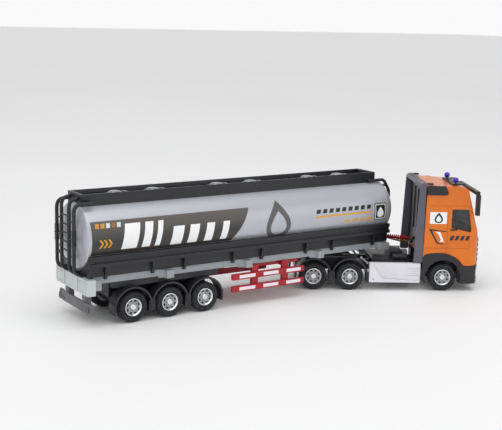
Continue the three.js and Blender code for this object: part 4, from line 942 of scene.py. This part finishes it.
def dress_cage():
    """Upright pipes with rungs between them and ribbed sleeves on the outer two."""
    low, high = local_box("rear_ladder_cage", TRAILER)
    back = low.x + PIPE
    foot = low.z + PIPE
    front = cradle_low.x - GAP
    inner_top = high.z - PIPE
    outer_top = inner_top - CAGE_OUTER_DROP
    bend = min(CAGE_BEND, front - back - 0.4)
    shape = Shape()
    for y in (CAGE_INNER, -CAGE_INNER):
        path = [(front, y, inner_top), (back, y, inner_top), (back, y, foot), (front, y, foot)]
        shape.add(sweep(rounded(path, bend), PIPE))
    for y in (CAGE_OUTER, -CAGE_OUTER):
        top = [(tank_rear + CAGE_OUTER_REACH, y, outer_top), (back, y, outer_top)]
        path = [*top, (back, y, foot), (front, y, foot)]
        shape.add(sweep(rounded(path, bend), PIPE))
        for level in SLEEVE_LEVELS:
            z = foot + level * (outer_top - foot)
            for i in range(SLEEVE_RIBS):
                middle = z + SLEEVE_PITCH * i
                ring = [(back, y, middle - SLEEVE_HALF), (back, y, middle + SLEEVE_HALF)]
                shape.add(sweep(ring, PIPE + SLEEVE_RISE, 16))
    climb = outer_top - foot - 2 * CAGE_BEND
    ladders = (
        (6, -CAGE_INNER, CAGE_INNER), (3, CAGE_INNER, CAGE_OUTER), (3, -CAGE_OUTER, -CAGE_INNER),
    )
    for count, y0, y1 in ladders:
        for i in range(count):
            z = foot + CAGE_BEND + (i + 0.5) * climb / count
            shape.add(sweep([(back, y0, z), (back, y1, z)], RUNG_RADIUS, 10))
    piece = add("rear_ladder_cage_pipes", shape, "trailer", "black_plastic", TRAILER)
    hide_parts("rear_ladder_cage")


def dress_hatches():
    """Six stepped lids with a domed crown, a hinge and a clamp lever on one strip."""
    low, high = local_box("hatch_strip", TRAILER)
    floor = low.z
    first = low.x + HATCH_RADIUS
    profile = [
        (0, 0), (HATCH_RADIUS, 0), (HATCH_RADIUS, 1.2), (5.7, 1.5), (5.2, 1.55), (5.1, 1.9),
        (4.6, 2.1), (4.5, 2.6), (4.2, 3.0), (3.2, 3.3), (1.6, HATCH_RISE - 0.1), (0, HATCH_RISE),
    ]
    stand = Matrix.Rotation(math.pi / 2, 4, "X")
    lid = lathe(profile, 56).moved(stand)
    shape = block((low.x, high.x), (-2.5, 2.5), (floor, floor + 0.8))
    lever_z = floor + 2.1
    for pair in range(3):
        for second in range(2):
            x = first + HATCH_PAIR_PITCH * pair + HATCH_PITCH * second
            shape.add(lid.moved(shift(x, 0, floor)))
            shape.add(block((x + 4.6, x + 8.2), (-0.55, 0.55), (lever_z, lever_z + 0.7)))
            shape.add(block((x + 7.4, x + 8.8), (-1.2, 1.2), (floor + 0.6, floor + 2.6)))
            for side in (-1, 1):
                hinge = block((x - 6.0, x - 4.4), span(side, 1.0, 1.8), (floor + 1.0, floor + 2.4))
                shape.add(hinge)
    piece = add("hatch_strip_plated", shape, "trailer", "hatch_chrome", TRAILER, bevel=0.1)
    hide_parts("hatch_strip")


def dress_guards():
    """Pale reflective strips on the outer faces of the four guard bars."""
    finished("side_guards")
    low, high = local_box("side_guards", TRAILER)
    face = high.y
    shape = Shape()
    for side in (-1, 1):
        depth = span(side, face - 0.03, face + 0.08)
        for bottom in (low.z, low.z + GUARD_PITCH):
            for reach in REFLECTOR_SPANS:
                shape.add(block(reach, depth, (bottom + 1.0, bottom + 3.4)))
    add("guard_reflectors", shape, "trailer", "guard_red", TRAILER, [REFLECTOR])


def ribbon(path, width):
    """The outline of a line of the given width along an (x, z) path."""
    left, right = [], []
    for i, (x, z) in enumerate(path):
        ahead, behind = path[min(i + 1, len(path) - 1)], path[max(i - 1, 0)]
        along = Vector((ahead[0] - behind[0], ahead[1] - behind[1])).normalized()
        left.append((x - along.y * width / 2, z + along.x * width / 2))
        right.append((x + along.y * width / 2, z - along.x * width / 2))
    return right + left[::-1]


def dress_panel():
    """The rear light panel with a rounded square engraved in each outer bay."""
    low = local_box("rear_light_panel", TRAILER)[0]
    cutters = []
    across = Matrix.Rotation(math.pi / 2, 4, "Z")
    for side in (-1, 1):
        y0, y1 = span(side, *LAMP_FRAME_Y)
        line = rounded_square(y0, y1, low.z + LAMP_FRAME_LOW, low.z + LAMP_FRAME_HIGH, 1.6)
        for a, b in zip(line, line[1:] + line[:1]):
            groove = plate(ribbon([a, b], GROOVE), (-low.x - GROOVE_DEPTH, -low.x + 1))
            cutters.append(groove.moved(across))
    finished("rear_light_panel", cutters=cutters, place=TRAILER)


def dress_bar():
    """Rounded end caps and two pairs of raised pads on the under-run bar."""
    finished("underrun_bar")
    low, high = local_box("underrun_bar", TRAILER)
    shape = Shape()
    end = high.y - 0.1
    for side in (-1, 1):
        for y in PAD_EDGES:
            across = span(side, y, y + PAD_WIDTH)
            shape.add(block((low.x - 0.28, low.x + 0.4), across, (low.z + 1.1, low.z + 3.4)))
        across = span(side, end, end + 0.5)
        shape.add(block((low.x + 0.3, low.x + 1.5), across, (low.z + 0.3, low.z + 4.2)))
    add("underrun_bar_pads", shape, "trailer", "bar_grey", TRAILER, bevel=0.12)


def arch_lips(name, centres, body, place):
    """The rolled outer lips of the mudguards over a row of axles, and their lower ends."""
    shape = Shape()
    arc = [math.radians(-3 + 186 * i / 32) for i in range(33)]
    arch = [(ARCH_RADIUS * math.cos(a), wheel_z + ARCH_RADIUS * math.sin(a)) for a in arc]
    stations = [(centres[0] - ARCH_RADIUS, FLAP_REACH), (centres[-1] + ARCH_RADIUS, FLAP_REACH)]
    stations += [((a + b) / 2, VALLEY_REACH) for a, b in zip(centres, centres[1:])]
    for side in (-1, 1):
        y = side * (cradle_high.y - 0.1 - ARCH_LIP)
        for centre in centres:
            shape.add(sweep([(centre + x, y, z) for x, z in arch], ARCH_LIP, 10))
        for x, reach in stations:
            outline = rounded_square(x - reach, x + reach, FLAP_BOTTOM, wheel_z + FLAP_RISE, 0.4)
            shape.add(plate(outline, span(side, FLAP_INNER, abs(y) + ARCH_LIP - 0.1)))
    add(name, shape, body, "black_plastic", place)


def dress_trailer():
    for node in ("trailer_frame", "tank_cradle", "walkway_trough", "trailer_bogie"):
        finished(node)
    dress_panel()
    dress_tank()
    dress_cage()
    dress_hatches()
    dress_guards()
    dress_bar()
    arch_lips("bogie_arch_lips", (0, AXLE_PITCH, 2 * AXLE_PITCH), "trailer", TRAILER)


# ---- tractor

SEAM = 0.28
SEAM_DEPTH = 0.35
DOOR_REAR = 100.6
DOOR_FRONT = 118.0
DOOR_BOTTOM = 33.2
DOOR_TOP = 66.0
PANEL_REAR = 84.0
PANEL_BOTTOM = 27.0
HEADER_REAR = 87.0
LABEL = (86.9, 99.8, 52.2, 61.2)
LABEL_X = 93.6
VENT = [(83.6, 74.2), (98.0, 74.2), (99.4, 74.7), (100.0, 76.0), (97.6, 81.2), (83.9, 81.2)]
FLASH = [(91.4, 46.3), (95.3, 45.9), (98.7, 38.2), (95.2, 38.5), (96.2, 39.8), (94.0, 44.4)]
FLASH_FRAME = [
    (86.5, 48.3), (93.0, 36.9), (98.8, 36.2), (98.4, 37.0),
    (94.0, 37.7), (88.9, 46.9), (100.4, 46.0), (100.4, 46.6),
]


def seam(x0, x1, z0, z1, side):
    """A cutter for a moulded line in the cab's side."""
    return block((x0, x1), span(side, cab_high.y - SEAM_DEPTH, cab_high.y + 1), (z0, z1))


def dress_cab():
    """The cab with its door lines, a vent and a strip behind the roof, and door handles."""
    cutters = []
    for side in (-1, 1):
        cutters += [
            seam(DOOR_REAR, DOOR_REAR + SEAM, PANEL_BOTTOM, DOOR_TOP + 0.2, side),
            seam(HEADER_REAR, DOOR_FRONT, DOOR_TOP, DOOR_TOP + SEAM, side),
            seam(PANEL_REAR, DOOR_FRONT, DOOR_BOTTOM, DOOR_BOTTOM + SEAM, side),
            seam(DOOR_FRONT, DOOR_FRONT + SEAM, DOOR_BOTTOM, DOOR_TOP + 0.2, side),
        ]
    finished("cab_shell", bevel=0.12, cutters=cutters, place=TRACTOR)
    vents, handles = Shape(), Shape()
    face = cab_high.y
    for side in (-1, 1):
        vents.add(plate(VENT, span(side, face - 0.4, face + 1.1)))
        vents.add(block((83.4, 88.0), span(side, face - 1.5, face + 1.3), (82.0, 83.4)))
        handles.add(block((103.0, 108.4), span(side, face - 0.2, face + 0.5), (47.2, 48.4)))
    add("cab_side_vents", vents, "tractor", "black_plastic", TRACTOR, bevel=0.3)
    add("door_handles", handles, "tractor", "black_plastic", TRACTOR, bevel=0.2)


def print_cab():
    """The plain shapes printed on both sides of the cab."""

    def cab_decal(name, figures, ink, lift=0.0):
        name = f"cab_print_{name}"
        decal(name, figures, ink, on_cab, "tractor", "cab_orange", TRACTOR, lift)

    cab_decal("label", [[rounded_square(*LABEL, 0.3)]], INK_WHITE)
    hole = drop(LABEL_X, z=56.3, size=2.5)[::-1]
    cab_decal("label_drop", [[drop(LABEL_X, z=56.9, size=4.1), hole]], INK_BLACK, OVERPRINT)
    cab_decal("flash_frame", [[FLASH_FRAME]], INK_BLACK)
    cab_decal("flash", [[FLASH]], INK_WHITE)
    dashes = row(count=4, x=102.6, pitch=4.0, width=2.6, z=(39.6, 43.2), lean=0.4)
    cab_decal("dashes", dashes, INK_BLACK)


def dress_skirts():
    """Each side skirt with its engraved swage line, louvres and a fixing screw."""
    for side, sign in (("left", 1), ("right", -1)):
        node = f"side_skirt_{side}"
        low, high = local_box(node, TRACTOR)
        face = max(abs(low.y), abs(high.y))
        corner = [(low.x + 1.5, high.z + 1), (low.x + 9.5, low.z + 3.4), (high.x + 1, low.z + 1.6)]
        path = [(p.x, p.y) for p in rounded([(x, z, 0) for x, z in corner], 4.0, 8)]
        depth = span(sign, face - 0.45, face + 1)
        cutters = [plate(ribbon(path, 0.6), depth)]
        for i in range(LOUVRES):
            z = low.z + LOUVRE_RISE + LOUVRE_PITCH * i
            cutters.append(block((high.x - 9.5, high.x - 0.8), depth, (z, z + LOUVRE_GAP)))
        finished(node, cutters=cutters, place=TRACTOR)
        screw = lathe([(0, 0), (0.7, 0), (0.7, 0.12), (0.45, 0.3), (0, 0.34)], 20)
        turn = Matrix.Rotation(0 if sign > 0 else math.pi, 4, "Z")
        seat = shift(low.x + 3.2, sign * (face - 0.1), low.z + 2.6) @ turn
        steel = [FINISHES["axle_steel"]]
        add(f"{node}_screw", screw.moved(seat), "tractor", "skirt_white", TRACTOR, steel)


def dress_stays():
    """A grey diagonal stay from each front drive mudguard down to the deck."""
    shape = Shape()
    boss = lathe([(0, -0.7), (1.0, -0.7), (1.0, 0.5), (0.7, 0.8), (0, 0.85)], 20)
    for side in (-1, 1):
        y = side * STAY_Y
        ends = [(x, y, z) for x, z in (STAY_TOP, STAY_FOOT)]
        shape.add(sweep(ends, STAY_RADIUS, 12))
        for end in ends:
            seat = shift(*end) @ Matrix.Rotation(0 if side > 0 else math.pi, 4, "Z")
            shape.add(boss.moved(seat))
    add("drive_mudguard_stays", shape, "tractor", "frame_grey", TRACTOR)


def dress_tractor():
    plain = (
        "tractor_chassis", "tractor_deck", "fifth_wheel", "drive_mudguard_left",
        "drive_mudguard_right", "cab_glazing", "cab_interior", "cab_lower_trim", "headlamp_strip",
        "visor_with_mirrors", "roof_light_bar", "cab_fairing", "cab_back_panel",
    )
    for node in plain:
        finished(node)
    dress_skirts()
    arch_lips("drive_arch_lips", (0, AXLE_PITCH), "tractor", TRACTOR)
    dress_stays()
    dress_cab()
    print_cab()
    for side in ("left", "right"):
        low, high = local_box(f"beacon_{side}", TRACTOR)
        centre = (low + high) / 2
        radius = (high.z - low.z) / 2
        arc = [a * math.pi / 24 for a in range(25)]
        profile = [(radius * math.sin(a), -radius * math.cos(a)) for a in arc]
        profile[0], profile[-1] = (0, -radius), (0, radius)
        stand = Matrix.Rotation(math.pi / 2, 4, "X")
        ball = lathe(profile, 48).moved(shift(*centre) @ stand)
        piece = add(f"beacon_{side}_dome", ball, "tractor", "beacon_blue", TRACTOR)
        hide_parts(f"beacon_{side}")


# ---- air lines


def tube_end(node, place, forward):
    """The middle of a CAD tube's end face, the one furthest forward or back along x."""
    inverse = place.inverted()
    points = [inverse @ vertex.co for vertex in frame["nodes"][node].data.vertices]
    reach = max(p.x for p in points) if forward else min(p.x for p in points)
    ring = [p for p in points if abs(p.x - reach) < 0.01]
    return sum(ring, Vector()) / len(ring)


def dress_air_lines():
    """Each coiled line as its real helix between short straight tails."""
    to_mm = Matrix.Scale(1 / MM, 4)
    lead = Vector((HOSE_LEAD, 0, 0))
    for colour in ("red", "yellow"):
        node = f"air_line_{colour}"
        start, end = tube_end(node, TRAILER, False), tube_end(node, TRACTOR, True)
        first, last = to_mm @ TRAILER @ (start + lead), to_mm @ TRACTOR @ (end - lead)
        start, end = to_mm @ TRAILER @ start, to_mm @ TRACTOR @ end
        axis = (last - first).normalized()
        across = axis.orthogonal().normalized()
        over = axis.cross(across)
        turns = round((last - first).length / HOSE_PITCH)
        steps = turns * HOSE_TURN_STEPS
        path = [start, start.lerp(first, 0.5)]
        for i in range(steps + 1):
            t = i / steps
            angle = 2 * math.pi * turns * t
            swell = HOSE_COIL * min(1.0, HOSE_FLARE * t, HOSE_FLARE * (1 - t))
            ring = swell * (math.cos(angle) * across + math.sin(angle) * over)
            path.append(first.lerp(last, t) + ring)
        path += [last.lerp(end, 0.5), end]
        shape = sweep(path, HOSE_WIRE, 8)
        piece = add(f"{node}_coil", shape, None, f"hose_{colour}", Matrix.Scale(MM, 4))
        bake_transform(piece)
        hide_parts(node)


# ---- studio

CAMERA_AT = Vector((-433.6, -597.4, 202.5))
CAMERA_HEADING = Vector((0.5572, 0.8304, 0)).normalized()
CAMERA_PITCH = math.radians(10.862)
CAMERA_ROLL = math.radians(1.506)
CAMERA_LENS = 74.16
FLOOR_HALF_M = 12
FLOOR_DROP_M = 0.0002


def make_camera():
    """The camera fitted to the photo."""
    camera = bpy.data.objects.new("camera", bpy.data.cameras.new("camera"))
    bpy.context.scene.collection.objects.link(camera)
    right = Vector((CAMERA_HEADING.y, -CAMERA_HEADING.x, 0))
    forward = math.cos(CAMERA_PITCH) * CAMERA_HEADING - Vector((0, 0, math.sin(CAMERA_PITCH)))
    up = right.cross(forward)
    rolled = math.cos(CAMERA_ROLL) * right + math.sin(CAMERA_ROLL) * up
    turn = Matrix((rolled, forward.cross(rolled) * -1, -forward)).transposed().to_4x4()
    camera.matrix_world = Matrix.Translation(CAMERA_AT * MM) @ turn
    camera.data.lens = CAMERA_LENS
    camera.data.sensor_width = 36
    camera.data.clip_start = 0.01
    camera.data.clip_end = 100
    bpy.context.scene.camera = camera


def area_light(name, at, size, power):
    """A square light, its place and size in metres, pointed at the middle of the toy."""
    data = bpy.data.lights.new(name, "AREA")
    data.size = size
    data.energy = power
    light = bpy.data.objects.new(name, data)
    light.location = at
    towards = Vector((0, 0, 0.04)) - Vector(at)
    light.rotation_euler = towards.to_track_quat("-Z", "Y").to_euler()
    bpy.context.scene.collection.objects.link(light)


def make_studio():
    """A pale floor and surroundings, three soft area lights and a very soft sun."""
    half = FLOOR_HALF_M
    corners = [(-half, -half, 0), (half, -half, 0), (half, half, 0), (-half, half, 0)]
    mesh = bpy.data.meshes.new("floor")
    mesh.from_pydata(corners, [], [(0, 1, 2, 3)])
    shader = Shader("studio_floor", Roughness=0.6)
    shader.colours(shader.noise(400, 2.0), (0.3, (0.93, 0.93, 0.93)), (0.7, (0.95, 0.95, 0.95)))
    mesh.materials.append(shader.material)
    floor = bpy.data.objects.new("floor", mesh)
    floor.location.z = -FLOOR_DROP_M
    bpy.context.scene.collection.objects.link(floor)
    world = bpy.data.worlds.new("studio")
    world.use_nodes = True
    tree = world.node_tree
    place = tree.nodes.new("ShaderNodeTexCoord")
    split = tree.nodes.new("ShaderNodeSeparateXYZ")
    ramp = tree.nodes.new("ShaderNodeValToRGB")
    tree.links.new(place.outputs["Generated"], split.inputs["Vector"])
    tree.links.new(split.outputs["Z"], ramp.inputs["Fac"])
    tree.links.new(ramp.outputs["Color"], tree.nodes["Background"].inputs["Color"])
    low, high = ramp.color_ramp.elements
    low.position, low.color = 0.1, (0.95, 0.95, 0.95, 1)
    high.position, high.color = 0.6, (0.4, 0.4, 0.41, 1)
    bpy.context.scene.world = world
    area_light("overhead", (-0.1, -0.3, 1.1), 1.1, 3.0)
    area_light("front_left", (-1.1, -0.7, 0.7), 0.8, 1.6)
    area_light("front_right", (0.7, -1.1, 0.6), 0.7, 1.2)
    sky = bpy.data.lights.new("soft_sky", "SUN")
    sky.energy, sky.angle = 1.0, math.radians(80)
    lamp = bpy.data.objects.new("soft_sky", sky)
    lamp.rotation_euler = (math.radians(12), math.radians(-8), 0)
    bpy.context.collection.objects.link(lamp)
    bpy.context.scene.view_settings.view_transform = "Standard"


make_camera()
dress_wheels()
dress_trailer()
dress_tractor()
dress_air_lines()
make_studio()
